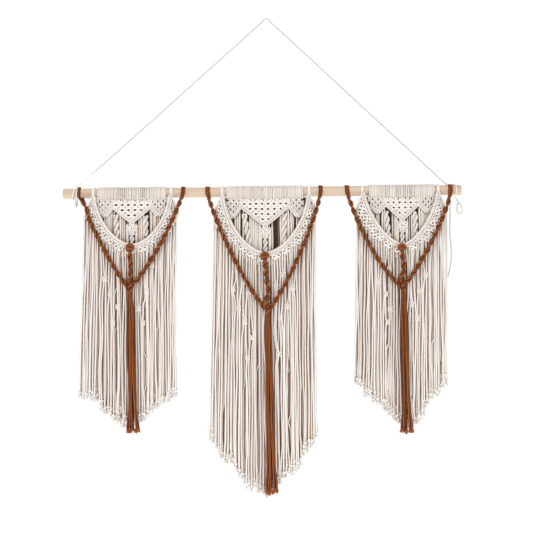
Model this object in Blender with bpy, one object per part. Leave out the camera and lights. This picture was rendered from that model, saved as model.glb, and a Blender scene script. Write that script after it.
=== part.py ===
"""Macrame wall hanging: three knotted cotton panels on one wooden rod.

Metres, +Z up, +X along the rod, -Y towards the viewer. The origin is the top of the
hanging cord, where it goes over a nail. Each panel is modelled about its own middle on the
axis of the rod: a net of square knots under the rod with a zigzag bar, a hitched drape in
the shape of a U in front of it, and a rust-brown rope in the shape of a V in front of both,
with a tassel at its point. Strands hang from the zigzag bar and from the drape.
"""

from bisect import bisect_left
from collections import namedtuple
from math import ceil, copysign, cos, pi, radians, sin

import bmesh
import bpy
from mathutils import Vector

# The rod, and the clearance that touching pieces keep
ROD_RADIUS = 0.0125
ROD_LEFT = -0.514
ROD_RIGHT = 0.486
ROD_HEIGHT = -0.436
ROD_SIDES = 24
CLEARANCE = 0.0004

# The three layers of a panel, measured forwards from the axis of the rod
NET_Y = -0.0150
DRAPE_Y = -0.0245
ROPE_Y = -0.0325
FRONT_STRAND_Y = -0.0208
BACK_STRAND_Y = -0.0136
STRAND_STAGGER = 0.0007
DRAPE_START_Y = -0.0160
ROPE_START_Y = -0.0172
SETTLING_FROM = 0.004
DRAPE_SETTLING = 0.026
ROPE_SETTLING = 0.034

# What goes over the rod
HEADING_SIDES = 10
HEADING_PITCH = 0.020
HEADING_THIN = 0.0026
HEADING_THICK = 0.0036
WRAP_WIDTH = 0.0100
WRAP_THICK = 0.0044
WRAP_STEP = radians(30)
WRAP_FROM = radians(-110)
WRAP_TO = radians(80)

# The net: its zigzag bar, its rows of square knots and the strands between them
BAR_SIDES = 5
NET_BAR_WIDTH = 0.0090
NET_BAR_DEPTH = 0.0070
RIDGE = 0.78
PEAK_DEPTH = 0.033
NET_END_DEPTH = 0.038
CORNER_ROUNDING = 0.004
KNOT_ROW_TOP = 0.0295
KNOT_ROW_STEP = 0.0130
KNOT_WIDTH = 0.0125
KNOT_DEPTH = 0.0078
KNOT_HALF = 0.0060
KNOT_FORWARD = 0.0004
KNOT_STATIONS = ((1.0, 0.70), (0.35, 1.0), (-0.35, 0.84), (-1.0, 0.72))
HANG_DEPTH = 0.0035
HANG_WIDTH = 0.0100
LOWEST_WIDTH = 0.0090
NET_STRAND_WIDTH = 0.0070
NET_STRAND_DEPTH = 0.0030
NET_STRAND_BACK = 0.0005
SIDE_STRAND_WIDTH = 0.0064
SIDE_STRANDS = 3
OUTER_REACH = 0.64

# Knotted cords under the net, as full widths and depths
SINNET_WIDTH = 0.0092
SINNET_DEPTH = 0.0064
SINNET_RIDGE = 0.0150
SINNET_WAIST = 0.72
SINNET_FORWARD = 0.0004
SINNET_BESIDE = 0.0040
SINNET_AFTER = 0.008
DIAMOND_BELOW = 0.008
DIAMOND_WIDTHS = ((0.000, 0.008), (0.007, 0.018), (0.012, 0.013), (0.017, 0.017), (0.024, 0.008))
DIAMOND_SINNET = (0.030, 0.058)
DIAMOND_END = 0.072
DIAMOND_HALF = 0.012

# The drape, and the strands of both fringes
DRAPE_WIDTH = 0.0140
DRAPE_DEPTH = 0.0080
DRAPE_TURN = radians(84)
STRAIGHT_SHARE = 0.55
STRAND = 0.0040
BACK_STRAND_DEPTH = 0.0034
BACK_STRAND_SPREAD = 1.10
BACK_STRAND_SHORTER = 0.012
FRONT_STRAND_SPREAD = 1.02
BEND_DROP = 0.014
BEND_SLOPE = 0.9
END_KNOT = 0.0066
END_TUFT = 0.0050
END_NECK_UP = 0.014
END_KNOT_UP = 0.009
TIP_UNEVEN = 0.006

# The rust rope, its stem and its tassel
ROPE_WIDTH = 0.0104
ROPE_LAY = 0.0850
ROPE_RING = 0.0110
ROPE_FULLNESS = 1.2
ROPE_TURN = radians(84)
STEM_X = -0.003
STEM_STOP = 0.0125
STEM_START = 0.016
STEM_SIDES = 5
ROPE_KNOT_WIDTH = 0.0210
ROPE_KNOT_DEPTH = 0.0110
ROPE_KNOT_BELOW = 0.003
ROPE_KNOT_FORWARD = 0.0024
ROPE_KNOT_BULGE = ((-0.0100, 0.30), (-0.0062, 0.82), (0.0, 1.0), (0.0055, 0.86), (0.0100, 0.42))
TASSEL_STRANDS_ACROSS = 5
TASSEL_STRANDS_DEEP = 2
TASSEL_BACK = 0.0005
TASSEL_LEAN = 0.006
TASSEL_TOP = 0.0297
TASSEL_UNEVEN = 0.010
NECK_TOP = 0.0085
NECK_SIDES = 6
NECK_FLAT = 0.74
NECK_SHAPE = ((0.0, 0.0075), (0.005, 0.0105), (0.012, 0.0090), (0.026, 0.0160))

# Three places down a tassel: share of the length, share of the lean, pitch of its strands
# across, thickness of a strand, and distance between its two rows of strands
TasselPlace = namedtuple("TasselPlace", "down lean pitch thick apart")
TASSEL_PLACES = (
    TasselPlace(0.00, 0.0, 0.0026, 0.0020, 0.0042),
    TasselPlace(0.35, 0.5, 0.0036, 0.0028, 0.0046),
    TasselPlace(1.00, 1.0, 0.0047, 0.0036, 0.0050),
)

# One row for each panel. x is its middle on the rod, and the rest is measured from there:
# net: half-width of the net, the rows of knots in its middle and their pitch, the peaks
# and points of its zigzag bar, the strands that hang from it and the two that are knotted;
# drape: its two ends, depth, fullness and strands; rope: its two ends, depth and the shift
# of its point; fringe: its edges at the top and at the tips, and the depth of the tips at
# the sides and in the middle, with the end of the tassel.
Panel = namedtuple(
    "Panel",
    "name x net_half knot_rows knot_pitch peak vee side_vee side_depth back_strands"
    " sinnet_x sinnet_end bare_x drape_left drape_right drape_drop fullness front_strands"
    " rope_left rope_right rope_drop rope_shift edge tip_left tip_right side_tip middle_tip"
    " tassel_end",
)
PANELS = (
    Panel(
        "left", x=-0.341, net_half=0.086, knot_rows=3, knot_pitch=0.0322, peak=0.0475,
        vee=0.072, side_vee=0.066, side_depth=0.058, back_strands=17, sinnet_x=0.037,
        sinnet_end=0.111, bare_x=None, drape_left=0.0965, drape_right=0.0990,
        drape_drop=0.134, fullness=1.60, front_strands=26, rope_left=0.1295,
        rope_right=0.1295, rope_drop=0.243, rope_shift=-0.004, edge=0.116, tip_left=0.138,
        tip_right=0.110, side_tip=0.500, middle_tip=0.582, tassel_end=0.598,
    ),
    Panel(
        "middle", x=-0.007, net_half=0.096, knot_rows=4, knot_pitch=0.0303, peak=0.0600,
        vee=0.083, side_vee=0.082, side_depth=0.065, back_strands=19, sinnet_x=0.047,
        sinnet_end=0.131, bare_x=0.030, drape_left=0.1075, drape_right=0.1110,
        drape_drop=0.157, fullness=1.75, front_strands=30, rope_left=0.1435,
        rope_right=0.1400, rope_drop=0.298, rope_shift=0.004, edge=0.126, tip_left=0.143,
        tip_right=0.128, side_tip=0.610, middle_tip=0.758, tassel_end=0.754,
    ),
    Panel(
        "right", x=0.336, net_half=0.082, knot_rows=3, knot_pitch=0.0288, peak=0.0412,
        vee=0.071, side_vee=0.061, side_depth=0.055, back_strands=17, sinnet_x=0.035,
        sinnet_end=0.117, bare_x=None, drape_left=0.0985, drape_right=0.0915,
        drape_drop=0.140, fullness=1.55, front_strands=26, rope_left=0.1368,
        rope_right=0.1225, rope_drop=0.243, rope_shift=-0.001, edge=0.112, tip_left=0.128,
        tip_right=0.111, side_tip=0.475, middle_tip=0.588, tassel_end=0.604,
    ),
)

# The hanging cord, through points chosen by hand. Y and Z are measured from the rod's axis
# for its two ends, and the apex is at the origin
CORD_DIAMETER = 0.0030
CORD_SPACING = 0.0085
TAIL_SPACING = 0.012
CORD_LEG_POINTS = 6
CORD_LEFT_END = (
    (-0.4803, -0.0125, -0.0357),
    (-0.4801, -0.0134, -0.0230),
    (-0.4793, -0.0146, -0.0080),
    (-0.4784, -0.0138, 0.0050),
    (-0.4778, -0.0076, 0.0124),
    (-0.4776, 0.0010, 0.0146),
    (-0.4790, 0.0104, 0.0102),
    (-0.4826, 0.0146, 0.0000),
    (-0.4872, 0.0100, -0.0106),
    (-0.4908, -0.0004, -0.0146),
    (-0.4906, -0.0102, -0.0104),
    (-0.4874, -0.0148, 0.0000),
    (-0.4836, -0.0112, 0.0112),
    (-0.4800, -0.0040, 0.0182),
    (-0.4720, -0.0010, 0.0235),
)
CORD_APEX = (
    (-0.0160, 0.0, -0.0140),
    (0.0, 0.0, 0.0),
    (0.0160, 0.0, -0.0140),
)
CORD_RIGHT_END = (
    (0.4420, 0.0010, 0.0212),
    (0.4490, 0.0105, 0.0160),
    (0.4532, 0.0184, 0.0084),
    (0.4584, 0.0206, 0.0012),
    (0.4638, 0.0190, 0.0064),
    (0.4684, 0.0100, 0.0114),
    (0.4708, 0.0000, 0.0147),
    (0.4722, -0.0102, 0.0104),
    (0.4728, -0.0147, 0.0000),
    (0.4716, -0.0104, -0.0106),
    (0.4712, -0.0020, -0.0162),
    (0.4766, -0.0020, -0.0236),
    (0.4830, -0.0030, -0.0412),
    (0.4868, -0.0020, -0.0537),
    (0.4850, 0.0000, -0.0605),
    (0.4796, 0.0020, -0.0549),
    (0.4768, 0.0030, -0.0411),
    (0.4772, 0.0035, -0.0311),
)
TAIL_ROUTE = (
    (0.4600, 0.0060, -0.0195),
    (0.4590, 0.0030, -0.0400),
    (0.4582, 0.0000, -0.0635),
    (0.4572, 0.0000, -0.1034),
    (0.4594, 0.0000, -0.1384),
    (0.4602, 0.0000, -0.1685),
    (0.4568, 0.0000, -0.1960),
    (0.4513, 0.0000, -0.2184),
)

# The steps of the rounded curve through a route: the pairs of knots each blends between
BLEND_STEPS = (((0, 1), (1, 2), (2, 3)), ((0, 2), (1, 3)), ((1, 2),))

COTTON = (0.82, 0.79, 0.74)
RUST = (0.26, 0.075, 0.025)
WOOD = (0.72, 0.53, 0.36)

X_AXIS = Vector((1, 0, 0))
Y_AXIS = Vector((0, 1, 0))
UP = Vector((0, 0, 1))
DOWN = -UP


def clear_scene():
    for item in list(bpy.data.objects):
        bpy.data.objects.remove(item, do_unlink=True)


def material(name, colour, roughness):
    made = bpy.data.materials.new(name)
    made.use_nodes = True
    shader = made.node_tree.nodes["Principled BSDF"]
    shader.inputs["Base Color"].default_value = (*colour, 1.0)
    shader.inputs["Roughness"].default_value = roughness
    shader.inputs["Metallic"].default_value = 0.0
    return made


def make_object(name, bm, colour, parent=None, roughness=0.95):
    """An object from a finished bmesh, its faces turned outwards and its round sides smooth."""
    bmesh.ops.recalc_face_normals(bm, faces=bm.faces)
    mesh = bpy.data.meshes.new(name)
    bm.to_mesh(mesh)
    bm.free()
    mesh.shade_smooth()
    mesh.set_sharp_from_angle(angle=radians(50))
    mesh.materials.append(material(name, colour, roughness))
    item = bpy.data.objects.new(name, mesh)
    bpy.context.collection.objects.link(item)
    item.parent = parent
    return item


def fuse(item, last_shell, colour):
    """Fuse an object's overlapping shells, and one more, into a single body."""
    cutter = make_object(item.name + "_shell", last_shell, colour, item.parent)
    cutter.hide_render = True
    cutter.display_type = "WIRE"
    union = item.modifiers.new("fuse", "BOOLEAN")
    union.operation = "UNION"
    union.solver = "EXACT"
    union.use_self = True
    union.object = cutter


def uneven(index, phase=0.0):
    """A steady value from -1 to 1 that differs from strand to strand."""
    return sin(2.4 * index + phase) * cos(1.1 * index + 0.7 * phase)


def mix(a, b, share):
    return a + (b - a) * share


def ramp(value):
    """0 to 1 with level ends."""
    held = min(max(value, 0.0), 1.0)
    return held * held * (3 - 2 * held)


def ring(bm, centre, across, deep, width, depth, sides, roll=0.0):
    """One closed ring of an oval section, with a flat side facing along across."""
    points = []
    for k in range(sides):
        angle = 2 * pi * (k + 0.5) / sides + roll
        point = centre + across * (cos(angle) * width / 2) + deep * (sin(angle) * depth / 2)
        points.append(bm.verts.new(point))
    return points


def skin(bm, rings):
    """Join rings into one closed tube and return, for each span, the side facing across."""
    facing = []
    for near, far in zip(rings, rings[1:]):
        count = len(near)
        sides = []
        for k in range(count):
            after = (k + 1) % count
            sides.append(bm.faces.new((near[k], near[after], far[after], far[k])))
        facing.append(sides[-1])
    bm.faces.new(reversed(rings[0]))
    bm.faces.new(rings[-1])
    return facing


def grow(bm, face, along, stations):
    """Draw a strand out of a face through stations of centre, direction, width and depth."""
    centre = face.calc_center_median()
    corners = []
    for vert in face.verts:
        offset = vert.co - centre
        corners.append((copysign(1, offset.dot(along)), copysign(1, offset.y)))
    previous = list(face.verts)
    bm.faces.remove(face)
    for place, direction, width, depth in stations:
        across = Vector((-direction.z, 0, direction.x))
        current = []
        for side, front in corners:
            point = place + across * (side * width / 2) + Y_AXIS * (front * depth / 2)
            current.append(bm.verts.new(point))
        for k in range(4):
            after = (k + 1) % 4
            bm.faces.new((previous[k], previous[after], current[after], current[k]))
        previous = current
    bm.faces.new(previous)


def strand_between(bm, start, end, width, depth):
    """A straight flat pair of strands as its own shell."""
    tangent = (end - start).normalized()
    across = tangent.cross(Y_AXIS).normalized()
    rings = [ring(bm, place, across, Y_AXIS, width * 1.41, depth * 1.41, 4) for place in (start, end)]
    skin(bm, rings)


def square_knot(bm, x, z):
    """A square knot: two ridges with a waist between, as its own shell."""
    rings = []
    for height, swell in KNOT_STATIONS:
        centre = Vector((x, NET_Y - KNOT_FORWARD, z + height * KNOT_HALF))
        rings.append(ring(bm, centre, X_AXIS, Y_AXIS, KNOT_WIDTH * swell, KNOT_DEPTH * swell, BAR_SIDES))
    skin(bm, rings)


def hung_curve(turn, left, right, drop, fullness, shift=0.0):
    """A point of a drape hung from the rod, at -90 to 90 degrees from its lowest point."""
    power = 2.0 / fullness
    level = abs(cos(turn)) ** power
    reach = right if turn > 0 else left
    return Vector((copysign(abs(sin(turn)) ** power, turn) * reach + shift * level, 0, -drop * level))


def hung_direction(turn, *shape):
    step = 0.01
    return (hung_curve(turn + step, *shape) - hung_curve(turn - step, *shape)).normalized()


def wrap_rings(bm, x, side, sides, width, thick):
    """Rings of a turn over the rod, from behind it to its front, at the given place."""
    inner = (ROD_RADIUS + CLEARANCE) / cos(WRAP_STEP / 2)
    radius = inner + thick / 2
    rings = []
    angle = WRAP_FROM
    while angle < WRAP_TO:
        outward = Vector((0, -sin(angle), cos(angle)))
        place = Vector((x, 0, 0)) + outward * radius
        rings.append(ring(bm, place, X_AXIS * side, -outward, width, thick, sides))
        angle += WRAP_STEP
    return rings


def zigzag_depth(panel, x):
    """Depth of the net's zigzag bar under the rod's axis, with its corners rounded."""
    places = (
        (-panel.net_half, NET_END_DEPTH),
        (-panel.side_vee, panel.side_depth),
        (-panel.peak, PEAK_DEPTH),
        (0.0, panel.vee),
        (panel.peak, PEAK_DEPTH),
        (panel.side_vee, panel.side_depth),
        (panel.net_half, NET_END_DEPTH),
    )

    def straight(at):
        for (x0, d0), (x1, d1) in zip(places, places[1:]):
            if at <= x1 or x1 == panel.net_half:
                return mix(d0, d1, (at - x0) / (x1 - x0))

    return sum(straight(x + offset) for offset in (-CORNER_ROUNDING, 0.0, CORNER_ROUNDING)) / 3


def zigzag_point(panel, x):
    return Vector((x, NET_Y, -zigzag_depth(panel, x)))


def tip_depth(panel, x, index, shorter=0.0):
    """How far under the rod's axis a strand ends: longest in the middle of the panel."""
    share = abs(x) / (panel.tip_left if x < 0 else panel.tip_right)
    depth = mix(panel.middle_tip, panel.side_tip, min(share, 1.0) ** 1.2)
    return depth - shorter + TIP_UNEVEN * uneven(index)


def end_stations(x, y, depth):
    """The last stretch of a strand: an overhand knot over a short frayed tuft."""
    return [
        (Vector((x, y, -depth + END_NECK_UP)), DOWN, STRAND, STRAND),
        (Vector((x, y, -depth + END_KNOT_UP)), DOWN, END_KNOT, END_TUFT),
        (Vector((x, y, -depth)), DOWN, END_TUFT, STRAND),
    ]


def ridged_stations(x, y, top, bottom):
    """A knotted cord: ridges along a thick stretch of a strand."""
    stations = []
    count = 2 * round((bottom - top) / SINNET_RIDGE)
    for k in range(count + 1):
        swell = 1.0 if k % 2 else SINNET_WAIST
        depth = mix(top, bottom, k / count)
        stations.append((Vector((x, y, -depth)), DOWN, SINNET_WIDTH * swell, SINNET_DEPTH * swell))
    return stations


def diamond_stations(panel, y):
    """The small diamond of knots under the point of the net, and the cord under it."""
    top = panel.vee + DIAMOND_BELOW
    first, last = DIAMOND_SINNET
    stations = []
    for down, width in DIAMOND_WIDTHS:
        stations.append((Vector((0, y, -top - down)), DOWN, width, SINNET_DEPTH))
    return stations + ridged_stations(0, y, top + first, top + last)


def back_strand(panel, x, root, index):
    """Stations of one strand of the net, from the zigzag bar to its end."""
    leaving = Vector((mix(root.x, x, 0.7), NET_Y + 0.0006, root.z - 0.003))
    stations = [(leaving, DOWN, 0.0032, BACK_STRAND_DEPTH)]
    knotted_y = NET_Y + SINNET_FORWARD
    top = -root.z + 0.009
    if abs(x) < 0.001:
        stations = diamond_stations(panel, knotted_y)
        top = panel.vee + DIAMOND_END
    elif abs(abs(x) - panel.sinnet_x) < SINNET_BESIDE:
        stations += ridged_stations(x, knotted_y, top, panel.sinnet_end)
        top = panel.sinnet_end + SINNET_AFTER
    tip_x = x * BACK_STRAND_SPREAD
    tip = tip_depth(panel, tip_x, index + 7, BACK_STRAND_SHORTER)
    stations.append((Vector((x, BACK_STRAND_Y, -top)), DOWN, 0.0038, BACK_STRAND_DEPTH))
    stations.append((Vector((tip_x, BACK_STRAND_Y, -tip)), DOWN, 0.0042, BACK_STRAND_DEPTH))
    return stations


def make_zigzag(panel):
    """The net's zigzag bar with the strands that hang from it, as one shell."""
    bm = bmesh.new()
    rings = []
    places = []
    pitch = 2 * panel.net_half / panel.back_strands
    for index in range(panel.back_strands):
        x = (index - (panel.back_strands - 1) / 2) * pitch
        here = (zigzag_point(panel, x + 0.001) - zigzag_point(panel, x - 0.001)).normalized()
        for side in (-1, 1):
            at = x + side * 0.0026 * here.x
            tangent = (zigzag_point(panel, at + 0.001) - zigzag_point(panel, at - 0.001)).normalized()
            lower = Vector((tangent.z, 0, -tangent.x))
            swell = 1.0 if side > 0 else RIDGE
            rings.append(ring(bm, zigzag_point(panel, at), lower, Y_AXIS,
                              NET_BAR_WIDTH * swell, NET_BAR_DEPTH * swell, BAR_SIDES))
        places.append((x, here))
    facing = skin(bm, rings)
    for index, (x, tangent) in enumerate(places):
        beside_diamond = 0.001 < abs(x) < DIAMOND_HALF
        bare = panel.bare_x is not None and abs(x - panel.bare_x) < pitch / 2
        if beside_diamond or bare:
            continue
        face = facing[2 * index]
        grow(bm, face, tangent, back_strand(panel, x, face.calc_center_median(), index))
    return bm


def add_lattice(bm, panel):
    """Rows of square knots over the point of the net, one fewer in each row, and their strands."""
    half_pitch = panel.knot_pitch / 2
    point = Vector((0, NET_Y, -panel.vee))
    for row in range(panel.knot_rows):
        count = panel.knot_rows - row
        z = -KNOT_ROW_TOP - row * KNOT_ROW_STEP
        for place in range(count):
            x = (place - (count - 1) / 2) * panel.knot_pitch
            knot = Vector((x, NET_Y, z))
            square_knot(bm, x, z)
            if row == 0:
                top = Vector((x * 0.98, NET_Y + NET_STRAND_BACK, -HANG_DEPTH))
                strand_between(bm, top, knot, HANG_WIDTH, NET_STRAND_DEPTH)
            if row == panel.knot_rows - 1:
                strand_between(bm, knot, point, LOWEST_WIDTH, NET_STRAND_DEPTH)
                continue
            for side in (-1, 1):
                outermost = place == (0 if side < 0 else count - 1)
                reach = OUTER_REACH if outermost else 1.0
                end = knot + Vector((side * half_pitch * reach, 0.0002, -KNOT_ROW_STEP * reach))
                strand_between(bm, knot, end, NET_STRAND_WIDTH, NET_STRAND_DEPTH)


def add_side_strands(bm, panel):
    """Strands from the heading to the zigzag bar, outside the rows of knots."""
    first = panel.peak + 0.001
    last = panel.net_half - 0.0055
    for side in (-1, 1):
        for k in range(SIDE_STRANDS):
            x = side * mix(first, last, k / (SIDE_STRANDS - 1))
            top = Vector((x * 0.985, NET_Y + NET_STRAND_BACK, -HANG_DEPTH))
            end = Vector((x, NET_Y + 0.0002, -zigzag_depth(panel, x)))
            strand_between(bm, top, end, SIDE_STRAND_WIDTH, NET_STRAND_DEPTH)


def heading_shell(half):
    """The row of loops over the rod: a ridged sleeve, open along the rod."""
    bm = bmesh.new()
    inner = (ROD_RADIUS + CLEARANCE) / cos(pi / HEADING_SIDES)
    count = 2 * round(2 * half / HEADING_PITCH)
    outer = []
    for k in range(count + 1):
        size = 2 * (inner + (HEADING_THICK if k % 2 else HEADING_THIN))
        centre = Vector((mix(-half, half, k / count), 0, 0))
        outer.append(ring(bm, centre, UP, Y_AXIS, size, size, HEADING_SIDES))
    hole = []
    for x in (-half, half):
        hole.append(ring(bm, Vector((x, 0, 0)), UP, Y_AXIS, 2 * inner, 2 * inner, HEADING_SIDES))
    bands = list(zip(outer, outer[1:]))
    bands += [hole, (outer[0], hole[0]), (outer[-1], hole[1])]
    for near, far in bands:
        for k in range(HEADING_SIDES):
            after = (k + 1) % HEADING_SIDES
            bm.faces.new((near[k], near[after], far[after], far[k]))
    bmesh.ops.recalc_face_normals(bm, faces=bm.faces)
    return bm


def make_net(panel, parent):
    bm = make_zigzag(panel)
    add_lattice(bm, panel)
    add_side_strands(bm, panel)
    net = make_object("net_" + panel.name, bm, COTTON, parent)
    fuse(net, heading_shell(panel.net_half), COTTON)


def front_strand(panel, share, root, outward, index):
    """Stations of one strand of the drape; the outer ones bend out to their place first."""
    top_x = panel.edge * share * FRONT_STRAND_SPREAD
    tip_x = mix(-panel.tip_left, panel.tip_right, (share + 1) / 2)
    y = FRONT_STRAND_Y - STRAND_STAGGER * (index % 2)
    stations = end_stations(tip_x, y, tip_depth(panel, tip_x, index))
    if abs(share) < STRAIGHT_SHARE:
        return stations
    bend = BEND_DROP + BEND_SLOPE * abs(top_x - root.x)
    leaving = (outward * 0.7 + DOWN * 0.3).normalized()
    first = root + outward * 0.0035 + DOWN * 0.0008 + Y_AXIS * 0.0006
    second = Vector((mix(root.x, top_x, 0.85), y, root.z - bend))
    return [(first, leaving, 0.0040, 0.0036), (second, DOWN, STRAND, STRAND)] + stations


def drape_ring(bm, shape, turn, swell):
    """One ring of the hitched bar, which widens and comes forward as it leaves the rod."""
    tangent = hung_direction(turn, *shape)
    outward = Vector((tangent.z, 0, -tangent.x))
    centre = hung_curve(turn, *shape)
    settled = ramp((-centre.z - SETTLING_FROM) / DRAPE_SETTLING)
    centre.y = mix(DRAPE_START_Y, DRAPE_Y, settled)
    width = mix(WRAP_WIDTH, DRAPE_WIDTH, settled) * swell
    depth = mix(WRAP_THICK, DRAPE_DEPTH, settled) * mix(1.0, swell, settled)
    return ring(bm, centre, outward, Y_AXIS, width, depth, BAR_SIDES)


def make_drape(panel, parent):
    """The hitched bar hung from the rod at both ends, with the front fringe grown from it."""
    bm = bmesh.new()
    shape = (panel.drape_left, panel.drape_right, panel.drape_drop, panel.fullness)
    rings = wrap_rings(bm, -panel.drape_left, -1, BAR_SIDES, WRAP_WIDTH, WRAP_THICK)
    first = len(rings)
    step = 2 * DRAPE_TURN / panel.front_strands
    shares = []
    for index in range(panel.front_strands):
        turn = -DRAPE_TURN + (index + 0.5) * step
        shares.append(turn / DRAPE_TURN)
        rings.append(drape_ring(bm, shape, turn - 0.26 * step, RIDGE))
        rings.append(drape_ring(bm, shape, turn + 0.26 * step, 1.0))
    rings += reversed(wrap_rings(bm, panel.drape_right, 1, BAR_SIDES, WRAP_WIDTH, WRAP_THICK))
    facing = skin(bm, rings)
    for index, share in enumerate(shares):
        face = facing[first + 2 * index]
        tangent = hung_direction(share * DRAPE_TURN, *shape)
        outward = Vector((tangent.z, 0, -tangent.x))
        root = face.calc_center_median()
        grow(bm, face, tangent, front_strand(panel, share, root, outward, index))
    make_object("drape_" + panel.name, bm, COTTON, parent)


def rope_stations(panel):
    """Evenly spaced places along the rust rope, with outward direction and distance travelled."""
    shape = (panel.rope_left, panel.rope_right, panel.rope_drop, ROPE_FULLNESS, panel.rope_shift)
    fine = 600
    route = [hung_curve(mix(-ROPE_TURN, ROPE_TURN, k / fine), *shape) for k in range(fine + 1)]
    travelled = [0.0]
    for near, far in zip(route, route[1:]):
        travelled.append(travelled[-1] + (far - near).length)
    count = 2 * round(travelled[-1] / ROPE_RING / 2)
    stations = []
    for k in range(count + 1):
        distance = travelled[-1] * k / count
        at = min(bisect_left(travelled, distance), fine)
        before = bisect_left(travelled, max(distance - ROPE_WIDTH / 2, 0.0))
        after = min(bisect_left(travelled, distance + ROPE_WIDTH / 2), fine)
        tangent = (route[after] - route[before]).normalized()
        centre = route[at].copy()
        settled = ramp((-centre.z - SETTLING_FROM) / ROPE_SETTLING)
        centre.y = mix(ROPE_START_Y, ROPE_Y, settled)
        stations.append((centre, Vector((tangent.z, 0, -tangent.x)), settled, distance))
    return stations


def rope_rings(bm, panel):
    """The rust rope from one turn over the rod down to its point and up to the other."""
    flat = (WRAP_WIDTH * 1.41, WRAP_THICK * 1.41)
    stations = rope_stations(panel)
    length = stations[-1][3]
    quarters = round(4 * length / ROPE_LAY)
    rings = wrap_rings(bm, -panel.rope_left, -1, 4, *flat)
    for centre, outward, settled, travelled in stations:
        roll = quarters * pi / 2 * travelled / length
        width = mix(WRAP_WIDTH * 1.3, ROPE_WIDTH, settled)
        depth = mix(WRAP_THICK * 1.6, ROPE_WIDTH * 0.94, settled)
        rings.append(ring(bm, centre, outward, Y_AXIS, width, depth, 4, roll))
    shift = quarters % 4
    for points in reversed(wrap_rings(bm, panel.rope_right, 1, 4, *flat)):
        rings.append(points[shift:] + points[:shift])
    return rings


def make_stem(panel, parent):
    """The rust knot on the drape's lowest point, and the rope from it towards the V's point."""
    bm = bmesh.new()
    knot = panel.drape_drop + ROPE_KNOT_BELOW
    rings = []
    for down, swell in ROPE_KNOT_BULGE:
        centre = Vector((STEM_X, ROPE_Y - ROPE_KNOT_FORWARD, -knot - down))
        rings.append(ring(bm, centre, X_AXIS, Y_AXIS, ROPE_KNOT_WIDTH * swell,
                          ROPE_KNOT_DEPTH * swell, STEM_SIDES))
    top = knot + STEM_START
    bottom = panel.rope_drop - STEM_STOP
    count = round((bottom - top) / ROPE_RING)
    for k in range(count + 1):
        share = k / count
        centre = Vector((mix(STEM_X, panel.rope_shift, share), ROPE_Y, -mix(top, bottom, share)))
        roll = 2 * pi * (bottom - top) * share / ROPE_LAY
        width = ROPE_WIDTH * (0.92 if share < 1 else 0.5)
        rings.append(ring(bm, centre, X_AXIS, Y_AXIS, width, width, STEM_SIDES, roll))
    skin(bm, rings)
    make_object("stem_" + panel.name, bm, RUST, parent)


def make_rope(panel, parent):
    bm = bmesh.new()
    skin(bm, rope_rings(bm, panel))
    make_object("rope_" + panel.name, bm, RUST, parent)


def tassel_neck(panel):
    """The bound neck of the tassel, just under the point of the rope."""
    bm = bmesh.new()
    top = panel.rope_drop + NECK_TOP
    rings = []
    for down, width in NECK_SHAPE:
        centre = Vector((panel.rope_shift, ROPE_Y - TASSEL_BACK, -top - down))
        rings.append(ring(bm, centre, X_AXIS, Y_AXIS, width, width * NECK_FLAT, NECK_SIDES))
    skin(bm, rings)
    bmesh.ops.recalc_face_normals(bm, faces=bm.faces)
    return bm


def tassel_strand(bm, panel, column, row):
    """One loose strand of the tassel, thicker and further from its neighbours at its end."""
    index = row * TASSEL_STRANDS_ACROSS + column
    behind = row - (TASSEL_STRANDS_DEEP - 1) / 2
    across = column - (TASSEL_STRANDS_ACROSS - 1) / 2 + 0.3 * behind
    top = panel.rope_drop + TASSEL_TOP
    end = panel.tassel_end - TASSEL_UNEVEN * abs(uneven(index, 1.0))
    rings = []
    for place in TASSEL_PLACES:
        centre = Vector((
            panel.rope_shift + TASSEL_LEAN * place.lean + across * place.pitch,
            ROPE_Y - TASSEL_BACK + behind * place.apart,
            -mix(top, end, place.down),
        ))
        rings.append(ring(bm, centre, X_AXIS, Y_AXIS, place.thick * 1.3, place.thick * 1.3, 4))
    skin(bm, rings)


def make_tassel(panel, parent):
    """Loose rust strands from the neck, spreading a little towards their ends."""
    bm = bmesh.new()
    for row in range(TASSEL_STRANDS_DEEP):
        for column in range(TASSEL_STRANDS_ACROSS):
            tassel_strand(bm, panel, column, row)
    tassel = make_object("tassel_" + panel.name, bm, RUST, parent)
    fuse(tassel, tassel_neck(panel), RUST)


def smooth_points(route, spacing, most):
    """Points of a rounded curve through a route, at the given spacing, with most in a stretch."""
    ends = [2 * route[0] - route[1], *route, 2 * route[-1] - route[-2]]
    points = []
    for before, start, end, after in zip(ends, ends[1:], ends[2:], ends[3:]):
        knots = [0.0]
        for near, far in ((before, start), (start, end), (end, after)):
            knots.append(knots[-1] + (far - near).length ** 0.5)
        count = min(ceil((end - start).length / spacing), most)
        for k in range(count):
            at = mix(knots[1], knots[2], k / count)
            row = [before, start, end, after]
            for spans in BLEND_STEPS:
                row = [row[j].lerp(row[j + 1], (at - knots[low]) / (knots[high] - knots[low]))
                       for j, (low, high) in enumerate(spans)]
            points.append(row[0])
    return points + [route[-1]]


def make_cord(name, points):
    curve = bpy.data.curves.new(name, "CURVE")
    curve.dimensions = "3D"
    curve.bevel_depth = CORD_DIAMETER / 2
    curve.bevel_resolution = 2
    curve.use_fill_caps = True
    spline = curve.splines.new("POLY")
    spline.points.add(len(points) - 1)
    for target, point in zip(spline.points, points):
        target.co = (*point, 1.0)
    spline.use_smooth = True
    curve.materials.append(material(name, COTTON, 0.95))
    item = bpy.data.objects.new(name, curve)
    bpy.context.collection.objects.link(item)


def from_rod(places):
    return [Vector(place) + Vector((0, 0, ROD_HEIGHT)) for place in places]


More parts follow.
